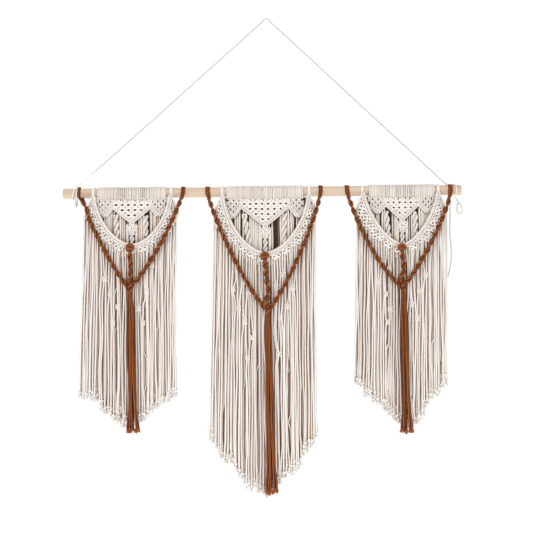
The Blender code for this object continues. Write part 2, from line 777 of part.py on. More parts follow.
def make_cords():
    apex = [Vector(place) for place in CORD_APEX]
    route = from_rod(CORD_LEFT_END) + apex + from_rod(CORD_RIGHT_END)
    make_cord("hanging_cord", smooth_points(route, CORD_SPACING, CORD_LEG_POINTS))
    make_cord("cord_tail", smooth_points(from_rod(TAIL_ROUTE), TAIL_SPACING, CORD_LEG_POINTS))


def make_rod():
    """A plain round rod with softened ends."""
    length = ROD_RIGHT - ROD_LEFT
    bm = bmesh.new()
    bmesh.ops.create_cone(bm, cap_ends=True, segments=ROD_SIDES, radius1=ROD_RADIUS,
                          radius2=ROD_RADIUS, depth=length)
    rod = make_object("rod", bm, WOOD, roughness=0.6)
    rod.location = ((ROD_LEFT + ROD_RIGHT) / 2, 0, ROD_HEIGHT)
    rod.rotation_euler = (0, radians(90), 0)
    bevel = rod.modifiers.new("soft ends", "BEVEL")
    bevel.width = 0.0012
    bevel.segments = 1
    bevel.limit_method = "ANGLE"
    bevel.angle_limit = radians(60)


def make_panel(panel):
    middle = bpy.data.objects.new("panel_" + panel.name, None)
    bpy.context.collection.objects.link(middle)
    middle.location = (panel.x, 0, ROD_HEIGHT)
    make_net(panel, middle)
    make_drape(panel, middle)
    make_rope(panel, middle)
    make_stem(panel, middle)
    make_tassel(panel, middle)


clear_scene()
make_rod()
for each in PANELS:
    make_panel(each)
make_cords()
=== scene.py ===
"""Looks of a macrame wall hanging: three knotted cotton panels on one wooden rod.

Metres, +Z up, +X along the rod, -Y towards the viewer, the origin at the top of the hanging
cord. Each panel is worked out about its own middle on the axis of the rod, and every cord
in it is a round profile carried along a path.
"""

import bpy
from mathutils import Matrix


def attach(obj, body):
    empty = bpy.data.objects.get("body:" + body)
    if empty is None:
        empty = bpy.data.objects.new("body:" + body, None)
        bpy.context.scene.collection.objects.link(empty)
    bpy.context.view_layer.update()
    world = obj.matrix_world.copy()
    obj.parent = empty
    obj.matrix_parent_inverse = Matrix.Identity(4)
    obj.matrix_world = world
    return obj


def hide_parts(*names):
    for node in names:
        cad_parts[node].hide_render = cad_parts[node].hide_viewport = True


bl_info = {
    "name": "Macrame Wall Hanging",
    "version": (1, 0, 0),
    "blender": (4, 5, 0),
    "location": "View3D > Sidebar > Macrame",
    "description": "Knotted cotton panels, rust ropes and cords on a wooden rod",
    "category": "Object",
}

from collections import namedtuple
from math import cos, pi, radians, sin

import bpy
import numpy as np
from bpy.props import FloatProperty, FloatVectorProperty, IntProperty, PointerProperty
from mathutils import Matrix

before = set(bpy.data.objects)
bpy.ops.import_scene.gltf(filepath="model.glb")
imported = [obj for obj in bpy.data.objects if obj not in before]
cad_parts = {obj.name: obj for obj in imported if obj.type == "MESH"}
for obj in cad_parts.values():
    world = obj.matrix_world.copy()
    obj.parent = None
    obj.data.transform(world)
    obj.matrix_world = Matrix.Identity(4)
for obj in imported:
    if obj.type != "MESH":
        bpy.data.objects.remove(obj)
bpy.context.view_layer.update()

# Places that the pieces share, in metres from the axis of the rod
ROD_RADIUS = 0.0125
ROD_HEIGHT = -0.436
NET_Y = -0.0150
DRAPE_Y = -0.0245
ROPE_Y = -0.0325
FRONT_STRAND_Y = -0.0218
MIDDLE_STRAND_Y = -0.0180
BACK_STRAND_Y = -0.0090
HANG_TURN = radians(84)

# The loops over the rod: how far down they stay on its face, and where that is
LOOP_STRAIGHT = 0.004
DRAPE_LOOP_Y = -0.0160
ROPE_LOOP_Y = -0.0172
HEADING_RADIUS = ROD_RADIUS + 0.0015
DRAPE_LOOP_RADIUS = ROD_RADIUS + 0.0016

# The folded cords of the heading: how wide and thick they are, and how far down they end
HEADING_CORD = 0.0046
HEADING_THICK = 0.0026
HEADING_END = 0.0195

# The net: the depth of its first row of knots, the next row, its shoulders and its diamond
NET_TOP = 0.0306
NET_ROW = 0.0130
SHOULDER_TOP = 0.0222
SHOULDER_ROW = 0.0074
SHOULDER_PITCH = 0.0137
DIAMOND_PITCH = 0.0148

# The cords of the small knots: in the shoulders, the diamond and the fringe
SHOULDER_KNOT_CORD = 0.0025
DIAMOND_KNOT_CORD = 0.0034
FRINGE_KNOT_CORD = 0.0028

# The drape: half its bar's width, its loops' cords, and its knots' pitch and rows
DRAPE_BAR_HALF = 0.008
DRAPE_LOOP_CORD = 0.0040
DRAPE_LOOP_THICK = 0.0028
DRAPE_KNOT_PITCH = 0.0262
DRAPE_KNOT_ROWS = (0.0118, 0.0215, 0.0310)

# The fringe: the pitch of its back strands, how far its end knots lie above the outline, and
# the thickness of its layers as shares of a strand's
BACK_PITCH = 0.0050
TIP_LIFT = 0.005
BACK_SHARE = 1.34
MIDDLE_SHARE = 1.02
FRONT_SHARE = 1.12

# The rust ropes: how flat their cords lie on the rod, and the tones of their six cords
ROPE_FLAT = 0.65
ROPE_TONES = (0.0, 0.9, 0.4, 0.7, 0.1, 1.1)

Panel = namedtuple(
    "Panel",
    "name x net_half knot_rows knot_pitch peak peak_depth vee side_vee side_depth net_end"
    " drape_left drape_right drape_drop fullness strands"
    " rope_left rope_right rope_drop rope_shift edge tip_left tip_right tassel_end",
)
PANELS = (
    Panel(name="left", x=-0.341, net_half=0.086, knot_rows=3, knot_pitch=0.0322,
          peak=0.0475, peak_depth=0.034, vee=0.072, side_vee=0.066, side_depth=0.058,
          net_end=0.036,
          drape_left=0.0965, drape_right=0.0990, drape_drop=0.134, fullness=1.74,
          strands=36, rope_left=0.1295, rope_right=0.1295, rope_drop=0.243,
          rope_shift=-0.004, edge=0.116, tip_left=0.138, tip_right=0.110,
          tassel_end=0.598),
    Panel(name="middle", x=-0.007, net_half=0.096, knot_rows=4, knot_pitch=0.0303,
          peak=0.0600, peak_depth=0.0355, vee=0.083, side_vee=0.082, side_depth=0.064,
          net_end=0.040,
          drape_left=0.1075, drape_right=0.1110, drape_drop=0.157, fullness=1.75,
          strands=40, rope_left=0.1435, rope_right=0.1400, rope_drop=0.298,
          rope_shift=0.004, edge=0.128, tip_left=0.150, tip_right=0.128,
          tassel_end=0.754),
    Panel(name="right", x=0.336, net_half=0.082, knot_rows=3, knot_pitch=0.0288,
          peak=0.0412, peak_depth=0.033, vee=0.071, side_vee=0.061, side_depth=0.055,
          net_end=0.036,
          drape_left=0.0985, drape_right=0.0915, drape_drop=0.140, fullness=1.55,
          strands=36, rope_left=0.1368, rope_right=0.1225, rope_drop=0.243,
          rope_shift=-0.001, edge=0.112, tip_left=0.128, tip_right=0.111,
          tassel_end=0.604),
)

# The outline of each panel's strand ends: across, and how far under the rod's axis
TIPS = {
    "left": ((-0.138, 0.499), (-0.101, 0.512), (-0.083, 0.530), (-0.068, 0.548),
             (-0.046, 0.560), (-0.024, 0.576), (0.014, 0.571), (0.034, 0.551),
             (0.057, 0.534), (0.077, 0.516), (0.110, 0.500)),
    "middle": ((-0.146, 0.604), (-0.129, 0.640), (-0.111, 0.665), (-0.091, 0.673),
               (-0.078, 0.694), (-0.066, 0.711), (-0.055, 0.732), (-0.020, 0.746),
               (-0.004, 0.757), (0.031, 0.726), (0.053, 0.702), (0.081, 0.685),
               (0.089, 0.655), (0.118, 0.618), (0.128, 0.606)),
    "right": ((-0.128, 0.466), (-0.107, 0.479), (-0.092, 0.509), (-0.065, 0.527),
              (-0.046, 0.542), (-0.028, 0.560), (-0.018, 0.576), (0.014, 0.582),
              (0.030, 0.578), (0.047, 0.550), (0.063, 0.515), (0.080, 0.506),
              (0.111, 0.476)),
}

# The small knots that join neighbouring strands of the fringe: across, and depth
FRINGE_KNOTS = {
    "left": ((-0.068, 0.215), (-0.055, 0.253), (-0.036, 0.285), (-0.049, 0.325),
             (0.050, 0.181), (0.036, 0.246), (0.0165, 0.290), (0.026, 0.326)),
    "middle": ((-0.082, 0.243), (-0.068, 0.291), (-0.053, 0.325), (-0.036, 0.365),
               (-0.047, 0.415), (-0.057, 0.226), (-0.044, 0.250), (-0.013, 0.268),
               (0.068, 0.241), (0.045, 0.209), (0.026, 0.240), (0.052, 0.288),
               (0.0355, 0.316), (0.021, 0.352), (0.029, 0.407)),
    "right": ((-0.060, 0.227), (-0.0435, 0.259), (-0.033, 0.297), (-0.038, 0.329),
              (-0.034, 0.197), (0.0565, 0.212), (0.040, 0.251), (0.021, 0.2855),
              (0.034, 0.320)),
}

# The sinnets under the zigzag bars: across and depth of the top, then of the foot
SINNETS = {
    "left": ((-0.0400, 0.055, -0.0370, 0.113), (0.0350, 0.059, 0.0345, 0.109)),
    "middle": ((-0.0520, 0.056, -0.0410, 0.134), (0.0495, 0.057, 0.0460, 0.129)),
    "right": ((-0.0405, 0.054, -0.0340, 0.119), (0.0320, 0.055, 0.0340, 0.115)),
}

# The openings between the strands under the zigzag bars: across, and half the width
OPENINGS = {
    "left": ((-0.0315, 0.0026), (0.0425, 0.0022), (0.0165, 0.0014), (-0.0700, 0.0018)),
    "middle": ((0.0290, 0.0070), (-0.0590, 0.0026), (-0.0775, 0.0022), (0.0745, 0.0024),
               (0.0600, 0.0018), (-0.0200, 0.0018)),
    "right": ((-0.0300, 0.0026), (0.0400, 0.0026), (0.0170, 0.0020), (-0.0560, 0.0020)),
}

# The dark partings of the fringe: across, and the depths of their two ends
PARTINGS = {
    "left": ((-0.041, 0.20, 0.50), (0.030, 0.24, 0.50), (0.062, 0.30, 0.48)),
    "middle": ((-0.0220, 0.17, 0.70), (-0.0560, 0.47, 0.66), (0.0320, 0.42, 0.66),
               (0.0560, 0.42, 0.66), (0.0870, 0.50, 0.62), (-0.1080, 0.54, 0.63),
               (-0.0780, 0.20, 0.26), (-0.0370, 0.32, 0.38)),
    "right": ((-0.040, 0.18, 0.50), (0.020, 0.30, 0.52), (0.074, 0.16, 0.44)),
}

# The turns of the rust knot, in millimetres about its middle
KNOT_TURNS = (
    ((-7.4, 1.6, -5.4), (-9.6, 0.2, -2.4), (-8.6, -0.8, 2.8), (-5.0, -1.4, 6.8), (0.2, -1.8, 8.2),
     (5.4, -1.4, 6.8), (8.8, -0.8, 2.8), (9.6, 0.2, -2.4), (7.2, 1.6, -5.6)),
    ((-6.6, -0.4, -3.4), (-5.6, -2.6, 1.2), (-3.0, -3.2, 4.2), (0.4, -3.2, 5.0), (3.6, -3.2, 4.0),
     (5.8, -2.4, 1.0), (6.4, -0.4, -3.4)),
    ((-8.8, 0.8, -2.6), (-6.0, -3.0, -2.4), (-2.2, -4.6, -2.2), (2.4, -4.6, -2.6),
     (6.4, -3.0, -3.4), (8.8, 0.8, -4.6)),
    ((-5.8, 0.0, -4.4), (-3.2, -2.8, -5.8), (0.8, -3.2, -6.4), (4.6, -1.4, -7.4)),
    ((-3.6, 0.4, 2.4), (-1.6, -0.4, -0.4), (1.6, -0.4, -0.8), (3.6, 0.4, -3.0)),
)

# The left and the right arm of each rust V: its fullness and depth, how far apart its cords
# lie on the rod, in thicknesses of a cord, and how far it swings in under the rod
ROPE_ARMS = {
    "left": ((1.14, 0.243, 0.24, 0.0055), (1.20, 0.236, 0.45, 0.0)),
    "middle": ((1.20, 0.298, 0.54, 0.0), (1.20, 0.298, 0.46, 0.0)),
    "right": ((1.29, 0.243, 0.52, 0.0), (1.22, 0.238, 0.54, 0.0)),
}

# The small knot on the left arm of the left V
ROPE_KNOT = (-0.1212, -0.0245, -0.0165)

# The middle rope from the rust knot to the point of the V: across, and depth
STEMS = {
    "left": ((-0.004, 0.140), (-0.0035, 0.155), (-0.002, 0.187), (-0.0044, 0.2295),
             (-0.004, 0.246)),
    "middle": ((-0.0025, 0.164), (0.0005, 0.188), (0.0030, 0.223), (0.0060, 0.251),
               (0.0015, 0.275), (0.004, 0.300)),
    "right": ((-0.0034, 0.145), (-0.0007, 0.175), (0.0009, 0.200), (-0.0040, 0.218),
              (-0.001, 0.246)),
}

# The hanging cord. Y and Z are from the rod's axis for its ends, and the apex is the origin
CORD_DIAMETER = 0.0030
CORD_LEFT_END = (
    (-0.4803, -0.0125, -0.0357), (-0.4801, -0.0134, -0.0230), (-0.4793, -0.0146, -0.0080),
    (-0.4784, -0.0138, 0.0050), (-0.4778, -0.0076, 0.0124), (-0.4776, 0.0010, 0.0146),
    (-0.4790, 0.0104, 0.0102), (-0.4826, 0.0146, 0.0000), (-0.4872, 0.0100, -0.0106),
    (-0.4908, -0.0004, -0.0146), (-0.4906, -0.0102, -0.0104), (-0.4874, -0.0148, 0.0000),
    (-0.4836, -0.0112, 0.0112), (-0.4800, -0.0040, 0.0182), (-0.4720, -0.0010, 0.0235),
)
CORD_FRAYED = ((-0.4824, -0.0138, -0.0140), (-0.4784, -0.0134, -0.0150))
CORD_APEX = ((-0.0160, 0.0, -0.0140), (0.0, 0.0, 0.0), (0.0160, 0.0, -0.0140))
CORD_RIGHT_END = (
    (0.4420, 0.0010, 0.0212), (0.4491, 0.0089, 0.0161), (0.4517, 0.0184, 0.0066),
    (0.4595, 0.0216, 0.0028), (0.4657, 0.0190, 0.0051), (0.4670, 0.0087, 0.0128),
    (0.4698, 0.0002, 0.0155), (0.4722, -0.0103, 0.0112), (0.4728, -0.0154, 0.0001),
    (0.4716, -0.0113, -0.0106), (0.4712, -0.0035, -0.0168), (0.4744, -0.0020, -0.0235),
    (0.4853, -0.0037, -0.0404), (0.4892, -0.0024, -0.0545), (0.4844, 0.0002, -0.0590),
    (0.4777, 0.0033, -0.0561), (0.4769, 0.0040, -0.0387), (0.4791, 0.0033, -0.0321),
)
TAIL_ROUTE = (
    (0.4600, 0.0060, -0.0195), (0.4590, 0.0030, -0.0400), (0.4582, 0.0000, -0.0635),
    (0.4572, 0.0000, -0.1034), (0.4594, 0.0000, -0.1384), (0.4602, 0.0000, -0.1685),
    (0.4568, 0.0000, -0.1960), (0.4513, 0.0000, -0.2184),
)

# A square knot of the open net, in millimetres about its middle: its two knotting cords
# and one of its core cords, drawn for knots 30.3 mm apart in rows 13 mm apart
OPEN_PITCH = 30.3
OPEN_CORD = 4.7
OPEN_KNOT = (
    ((-8.2, 0.4, 9.0), (-6.4, -0.8, 6.3), (-3.4, -2.6, 3.5), (0.0, -3.6, 2.0),
     (3.2, -3.3, 2.3), (6.0, -2.2, 4.1), (8.8, -1.0, 4.6), (11.5, 0.0, 3.1), (12.5, 0.4, 0.0),
     (11.5, 0.0, -3.1), (8.8, -1.0, -4.6), (6.0, -2.2, -4.1), (3.2, -3.3, -2.3),
     (0.0, -3.6, -2.0), (-3.4, -2.6, -3.5), (-6.4, -0.8, -6.3), (-8.2, 0.4, -9.0)),
    ((8.2, 0.4, 9.0), (6.6, -0.8, 6.3), (4.2, -1.2, 4.6), (2.2, 1.8, 3.2), (0.0, 3.3, 2.5),
     (-3.0, 1.4, 2.8), (-6.0, -1.4, 4.1), (-8.8, -1.8, 4.6), (-11.5, -2.0, 3.1),
     (-12.5, -2.2, 0.0), (-11.5, -2.0, -3.1), (-8.8, -1.8, -4.6), (-6.0, -1.4, -4.1),
     (-3.0, 1.4, -2.8), (0.0, 3.3, -2.5), (2.2, 1.8, -3.2), (4.2, -1.2, -4.6),
     (6.6, -0.8, -6.3), (8.2, 0.4, -9.0)),
    ((-6.4, 1.4, 9.6), (-3.2, 0.3, 6.0), (-2.1, -0.4, 2.5), (-2.1, -0.4, -2.5),
     (-3.2, 0.3, -6.0), (-6.4, 1.4, -9.6)),
    ((6.4, 1.4, 9.6), (3.2, 0.3, 6.0), (2.1, -0.4, 2.5), (2.1, -0.4, -2.5),
     (3.2, 0.3, -6.0), (6.4, 1.4, -9.6)),
)

# A square knot pulled tight, in thicknesses of its cord
TIGHT_KNOT = (
    ((-1.90, -0.10, 2.40), (-1.65, -0.20, 1.60), (-1.25, -0.65, 1.00), (-0.50, -0.95, 0.62),
     (0.50, -0.95, 0.50), (1.20, -0.60, 0.45), (1.65, 0.00, 0.00), (1.20, -0.60, -0.45),
     (0.50, -0.95, -0.50), (-0.50, -0.95, -0.62), (-1.25, -0.65, -1.00), (-1.65, -0.20, -1.60),
     (-1.90, -0.10, -2.40)),
    ((1.90, -0.10, 2.40), (1.70, -0.40, 1.50), (1.45, -0.70, 0.85), (1.00, 0.35, 0.50),
     (0.40, 0.95, 0.40), (-0.40, 0.95, 0.40), (-1.10, 0.35, 0.50), (-1.60, -0.55, 0.50),
     (-1.78, -0.95, 0.00), (-1.60, -0.55, -0.50), (-1.10, 0.35, -0.50), (-0.40, 0.95, -0.40),
     (0.40, 0.95, -0.40), (1.00, 0.35, -0.50), (1.45, -0.70, -0.85), (1.70, -0.40, -1.50),
     (1.90, -0.10, -2.40)),
    ((-0.50, 0.10, 2.30), (-0.50, 0.00, 0.80), (-0.50, 0.00, -0.80), (-0.50, 0.10, -2.30)),
    ((0.50, 0.10, 2.30), (0.50, 0.00, 0.80), (0.50, 0.00, -0.80), (0.50, 0.10, -2.30)),
)


class MacrameColours(bpy.types.PropertyGroup):
    """The colours of the yarns and the rod."""

    cotton: FloatVectorProperty(
        name="Cotton", description="Colour of the cream cotton", subtype="COLOR",
        size=3, min=0.0, max=1.0, default=(0.818, 0.795, 0.762))
    # Painted shade: the colour the cotton is darkened to between its plies and deep between
    # strands
    cotton_shade: FloatVectorProperty(
        name="Cotton shade", description="Colour of the cotton deep between strands",
        subtype="COLOR", size=3, min=0.0, max=1.0, default=(0.43, 0.245, 0.140))
    rust: FloatVectorProperty(
        name="Rust", description="Colour of the rust-brown ropes", subtype="COLOR",
        size=3, min=0.0, max=1.0, default=(0.275, 0.080, 0.019))
    # Painted shade: the colour the rust yarn is darkened to in its grooves and deep between cords
    rust_shade: FloatVectorProperty(
        name="Rust shade", description="Colour of the rust yarn in its grooves",
        subtype="COLOR", size=3, min=0.0, max=1.0, default=(0.042, 0.010, 0.003))
    cord: FloatVectorProperty(
        name="Cord", description="Colour of the hanging cord", subtype="COLOR",
        size=3, min=0.0, max=1.0, default=(0.80, 0.785, 0.76))
    # Painted shade: the colour the hanging cord is darkened to between its plies
    cord_shade: FloatVectorProperty(
        name="Cord shade", description="Colour of the hanging cord between its plies",
        subtype="COLOR", size=3, min=0.0, max=1.0, default=(0.45, 0.42, 0.39))
    wood: FloatVectorProperty(
        name="Wood", description="Colour of the pale rod", subtype="COLOR",
        size=3, min=0.0, max=1.0, default=(0.68, 0.54, 0.42))
    floor: FloatVectorProperty(
        name="Floor", description="Colour of the floor under the hanging",
        subtype="COLOR", size=3, min=0.0, max=1.0, default=(0.92, 0.92, 0.92))


class MacrameSizes(bpy.types.PropertyGroup):
    """The sizes of the cords and how loosely they hang."""

    strand: FloatProperty(
        name="Strand", description="Thickness of one strand of the fringe",
        default=0.0042, min=0.001, max=0.01, unit="LENGTH")
    hitch_cord: FloatProperty(
        name="Hitch cord", description="Thickness of the cord in the hitched bars",
        default=0.0029, min=0.001, max=0.01, unit="LENGTH")
    drape_row: FloatProperty(
        name="Drape row", description="Width of the wider hitched row of the drape",
        default=0.0086, min=0.002, max=0.02, unit="LENGTH")
    zigzag_row: FloatProperty(
        name="Zigzag row", description="Width of one hitched row of the net",
        default=0.0061, min=0.002, max=0.02, unit="LENGTH")
    rope_cord: FloatProperty(
        name="Rope cord", description="Thickness of a cord of the rust rope",
        default=0.0032, min=0.001, max=0.01, unit="LENGTH")
    rope_lay: FloatProperty(
        name="Rope lay", description="Length of one full twist of the rust rope",
        default=0.044, min=0.01, max=0.2, unit="LENGTH")
    tuft: FloatProperty(
        name="Tuft", description="Length of the frayed end under each end knot",
        default=0.0125, min=0.001, max=0.05, unit="LENGTH")
    sway: FloatProperty(
        name="Sway", description="How far a hanging strand wanders from a straight line",
        default=0.0016, min=0.0, max=0.01, unit="LENGTH")
    seed: IntProperty(
        name="Seed", description="Start of the steady random numbers", default=7, min=0)


def colours():
    return bpy.context.scene.macrame_colours


def sizes():
    return bpy.context.scene.macrame_sizes


def chance(panel, piece):
    """Steady random numbers of one piece of one panel."""
    return np.random.default_rng([sizes().seed, PANELS.index(panel), piece])


def smooth(value):
    """0 to 1 with level ends: 3 v squared less 2 v cubed, held between its ends."""
    held = np.clip(value, 0.0, 1.0)
    return held * held * (3 - 2 * held)


def mix(a, b, share):
    """From a to b by a share: a plus the share of their difference."""
    return a + (b - a) * share


def unit(vectors):
    """Vectors over their own lengths."""
    return vectors / np.maximum(np.linalg.norm(vectors, axis=-1, keepdims=True), 1e-9)


def through(points, count):
    """Smooth curves through points: on each stretch the cubic whose slope at a point is half
    the step between its neighbours, at count even steps. (..., K, 3) to (..., count, 3)"""
    points = np.asarray(points, float)
    ends = [2 * points[..., :1, :] - points[..., 1:2, :],
            2 * points[..., -1:, :] - points[..., -2:-1, :]]
    padded = np.concatenate([ends[0], points, ends[1]], axis=-2)
    at = np.linspace(0, points.shape[-2] - 1, count)
    first = np.minimum(at.astype(int), points.shape[-2] - 2)
    t = (at - first)[:, None]
    a, b, c, d = (padded[..., first + step, :] for step in range(4))
    return 0.5 * (2 * b + (c - a) * t + (2 * a - 5 * b + 4 * c - d) * t ** 2
                  + (3 * b - a - 3 * c + d) * t ** 3)


def travelled(routes):
    """Distance along each route from its start."""
    steps = np.linalg.norm(np.diff(routes, axis=-2), axis=-1)
    start = np.zeros(steps.shape[:-1] + (1,))
    return np.concatenate([start, np.cumsum(steps, axis=-1)], axis=-1)


def evenly(route, step):
    """One route taken again at even distances of about step."""
    distance = travelled(route)
    count = max(int(round(distance[-1] / step)), 2) + 1
    at = np.linspace(0, distance[-1], count)
    return np.stack([np.interp(at, distance, route[:, axis]) for axis in range(3)], -1)


def frames(routes, first=(1.0, 0.0, 0.0)):
    """Tangent and two cross directions at each point of each route. The first cross direction
    starts nearest to first and is carried along without turning about the route."""
    tangent = unit(np.gradient(routes, axis=-2))
    across = np.empty_like(tangent)
    held = np.broadcast_to(np.asarray(first, float), tangent[..., 0, :].shape)
    for k in range(routes.shape[-2]):
        along = tangent[..., k, :]
        held = unit(held - along * np.sum(held * along, axis=-1, keepdims=True))
        across[..., k, :] = held
    return tangent, across, np.cross(tangent, across)


def wound(route, radius, lay, phase=0.0, flat=1.0, first=(1.0, 0.0, 0.0)):
    """A route that winds round another one: the centre plus radius times the cosine and sine
    of the distance travelled over lay, the second flattened by flat."""
    _, across, deep = frames(route, first)
    angle = 2 * pi * travelled(route) / lay + phase
    radius = np.broadcast_to(radius, angle.shape)
    return (route + across * (radius * np.cos(angle))[:, None]
            + deep * (radius * flat * np.sin(angle))[:, None])


def tubes(routes, width, depth=None, sides=6, tone=0.5, first=(1.0, 0.0, 0.0)):
    """Oval tubes along routes (N, M, 3), closed at both ends. A ring is the centre plus half
    the width times the cosine and half the depth times the sine of the side's angle. The map
    holds the side's share round the tube and the distance along it in centimetres."""
    routes = np.asarray(routes, float)
    if routes.ndim == 2:
        routes = routes[None]
    strands, rings = routes.shape[:2]
    width = np.broadcast_to(width, (strands, rings))
    depth = width if depth is None else np.broadcast_to(depth, (strands, rings))
    _, across, deep = frames(routes, first)
    angle = 2 * pi * np.arange(sides) / sides
    co = (routes[:, :, None]
          + across[:, :, None] * (width[:, :, None] / 2 * np.cos(angle))[..., None]
          + deep[:, :, None] * (depth[:, :, None] / 2 * np.sin(angle))[..., None])
    start = (np.arange(strands) * rings * sides)[:, None, None]
    ring = (np.arange(rings - 1) * sides)[None, :, None]
    side = np.arange(sides)
    near = start + ring + side
    after = start + ring + (side + 1) % sides
    quads = np.stack([near, after, after + sides, near + sides], -1).reshape(-1, 4)
    last = (rings - 1) * sides
    heads = start[:, 0] + side[::-1]
    tails = start[:, 0] + last + side
    corners = np.concatenate([quads.ravel(), heads.ravel(), tails.ravel()])
    counts = np.concatenate([np.full(len(quads), 4), np.full(2 * strands, sides)])
    v = travelled(routes) * 100
    u = np.broadcast_to(side / sides, (strands, rings - 1, sides))
    low = np.broadcast_to(v[:, :-1, None], u.shape)
    high = np.broadcast_to(v[:, 1:, None], u.shape)
    body = np.stack([np.stack([u, low], -1), np.stack([u + 1 / sides, low], -1),
                     np.stack([u + 1 / sides, high], -1), np.stack([u, high], -1)], -2)
    middle = np.full((strands, sides), 0.5)
    caps = [np.stack([middle, np.broadcast_to(end[:, None], middle.shape)], -1)
            for end in (v[:, 0], v[:, -1])]
    uv = np.concatenate([body.reshape(-1, 2), caps[0].reshape(-1, 2), caps[1].reshape(-1, 2)])
    tone = np.asarray(tone, float)
    tones = np.broadcast_to(tone.reshape(tone.shape + (1,) * (3 - tone.ndim)), co.shape[:3])
    return co.reshape(-1, 3), corners, counts, uv, tones.ravel()


def make_piece(name, parts, material, nodes, middle=(0.0, 0.0, 0.0)):
    """One mesh object from tubes, moved to its place, that rides on the root."""
    offset = 0
    corners = []
    for co, own, *_ in parts:
        corners.append(own + offset)
        offset += len(co)
    places = np.concatenate([part[0] for part in parts]) + np.asarray(middle)
    corners = np.concatenate(corners)
    counts = np.concatenate([part[2] for part in parts])
    mesh = bpy.data.meshes.new(name)
    mesh.vertices.add(len(places))
    mesh.vertices.foreach_set("co", places.astype(np.float32).ravel())
    mesh.loops.add(len(corners))
    mesh.loops.foreach_set("vertex_index", corners.astype(np.int32))
    mesh.polygons.add(len(counts))
    starts = np.concatenate([[0], np.cumsum(counts)[:-1]])
    mesh.polygons.foreach_set("loop_start", starts.astype(np.int32))
    mesh.update(calc_edges=True)
    layer = mesh.uv_layers.new(name="Strand")
    layer.data.foreach_set("uv", np.concatenate([p[3] for p in parts]).astype(np.float32).ravel())
    tone = mesh.attributes.new("tone", "FLOAT", "POINT")
    tone.data.foreach_set("value", np.concatenate([p[4] for p in parts]).astype(np.float32))
    mesh.shade_smooth()
    mesh.materials.append(material)
    piece = bpy.data.objects.new(name, mesh)
    bpy.context.scene.collection.objects.link(piece)
    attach(piece, "root")
    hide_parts(*nodes)
    return piece


def panel_middle(panel):
    """A panel's middle on the axis of the rod, about which its pieces are worked out."""
    return (panel.x, 0.0, ROD_HEIGHT)


# Materials


def add_node(tree, kind, place, **values):
    """A shader node at a place on a grid of steps of 200, with its own values set."""
    node = tree.nodes.new(kind)
    node.location = (place[0] * 200, place[1] * 200)
    for key, value in values.items():
        setattr(node, key, value)
    return node


def math_node(tree, operation, place, *inputs):
    """A Math node whose inputs are numbers or the sockets that feed it."""
    node = add_node(tree, "ShaderNodeMath", place, operation=operation)
    for socket, value in zip(node.inputs, inputs):
        if isinstance(value, (int, float)):
            socket.default_value = value
        else:
            tree.links.new(value, socket)
    return node.outputs[0]


def mix_node(tree, place, share, first, second, blend="MIX"):
    """A colour Mix node whose share and colours are values or sockets."""
    node = add_node(tree, "ShaderNodeMix", place, data_type="RGBA", blend_type=blend)
    for socket, value in zip((node.inputs[0], node.inputs[6], node.inputs[7]),
                             (share, first, second)):
        if isinstance(value, (int, float)):
            socket.default_value = value
        elif isinstance(value, tuple):
            socket.default_value = (*value, 1.0)
        else:
            tree.links.new(value, socket)
    return node.outputs[2]


def twist_group():
    """Shader group of a twisted yarn: each ply bulges as one less the square of the place
    between its two grooves, and fine fibres lie along the ply. Its groove mask is where the
    yarns get painted shade between the plies."""
    group = bpy.data.node_groups.get("yarn_twist")
    if group:
        return group
    group = bpy.data.node_groups.new("yarn_twist", "ShaderNodeTree")
    face = group.interface
    for label, value in (("Plies", 3.0), ("Plies per cm", 2.3), ("Fibre", 0.35)):
        face.new_socket(label, in_out="INPUT", socket_type="NodeSocketFloat").default_value = value
    for label in ("Height", "Groove", "Fibres"):
        face.new_socket(label, in_out="OUTPUT", socket_type="NodeSocketFloat")
    given = add_node(group, "NodeGroupInput", (-6, 0))
    put = add_node(group, "NodeGroupOutput", (4, 0))
    uv = add_node(group, "ShaderNodeUVMap", (-6, 2), uv_map="Strand")
    split = add_node(group, "ShaderNodeSeparateXYZ", (-5, 2))
    group.links.new(uv.outputs[0], split.inputs[0])
    round_it = math_node(group, "MULTIPLY", (-4, 2), split.outputs[0], given.outputs["Plies"])
    along = math_node(group, "MULTIPLY", (-4, 1), split.outputs[1], given.outputs["Plies per cm"])
    ply = math_node(group, "ADD", (-3, 2), round_it, along)
    share = math_node(group, "FRACT", (-2, 2), ply)
    centred = math_node(group, "MULTIPLY_ADD", (-1, 2), share, 2.0, -1.0)
    square = math_node(group, "POWER", (0, 2), math_node(group, "ABSOLUTE", (0, 3), centred), 2.0)
    bulge = math_node(group, "SUBTRACT", (1, 2), 1.0, square)
    place = add_node(group, "ShaderNodeCombineXYZ", (-2, 0))
    group.links.new(math_node(group, "MULTIPLY", (-3, 0), ply, 5.0), place.inputs[0])
    group.links.new(math_node(group, "MULTIPLY", (-3, -1), split.outputs[1], 1.7), place.inputs[1])
    noise = add_node(group, "ShaderNodeTexNoise", (-1, 0))
    noise.inputs["Scale"].default_value = 1.0
    noise.inputs["Detail"].default_value = 2.0
    group.links.new(place.outputs[0], noise.inputs["Vector"])
    fibres = noise.outputs[0]
    part = math_node(group, "MULTIPLY", (1, 0), fibres, given.outputs["Fibre"])
    group.links.new(math_node(group, "ADD", (3, 1), bulge, part), put.inputs["Height"])
    # The groove mask: near 1 where two plies meet, for the painted shade between them
    narrow = math_node(group, "MULTIPLY", (1, 3), square, square)
    groove_shade = math_node(group, "SMOOTH_MIN", (2, 3), narrow, 1.0, 0.1)
    group.links.new(groove_shade, put.inputs["Groove"])
    group.links.new(fibres, put.inputs["Fibres"])
    return group


# How the yarns get painted shade from the ambient occlusion: the share of the open air at
# which the painted shade starts, the open air between which it deepens, and what is left of
# it in the deepest places
SHADE_START = 0.35
DEEPENING = (-0.8, 0.05)
DEEPEST = 0.11
FIBRE_TINT = 0.25


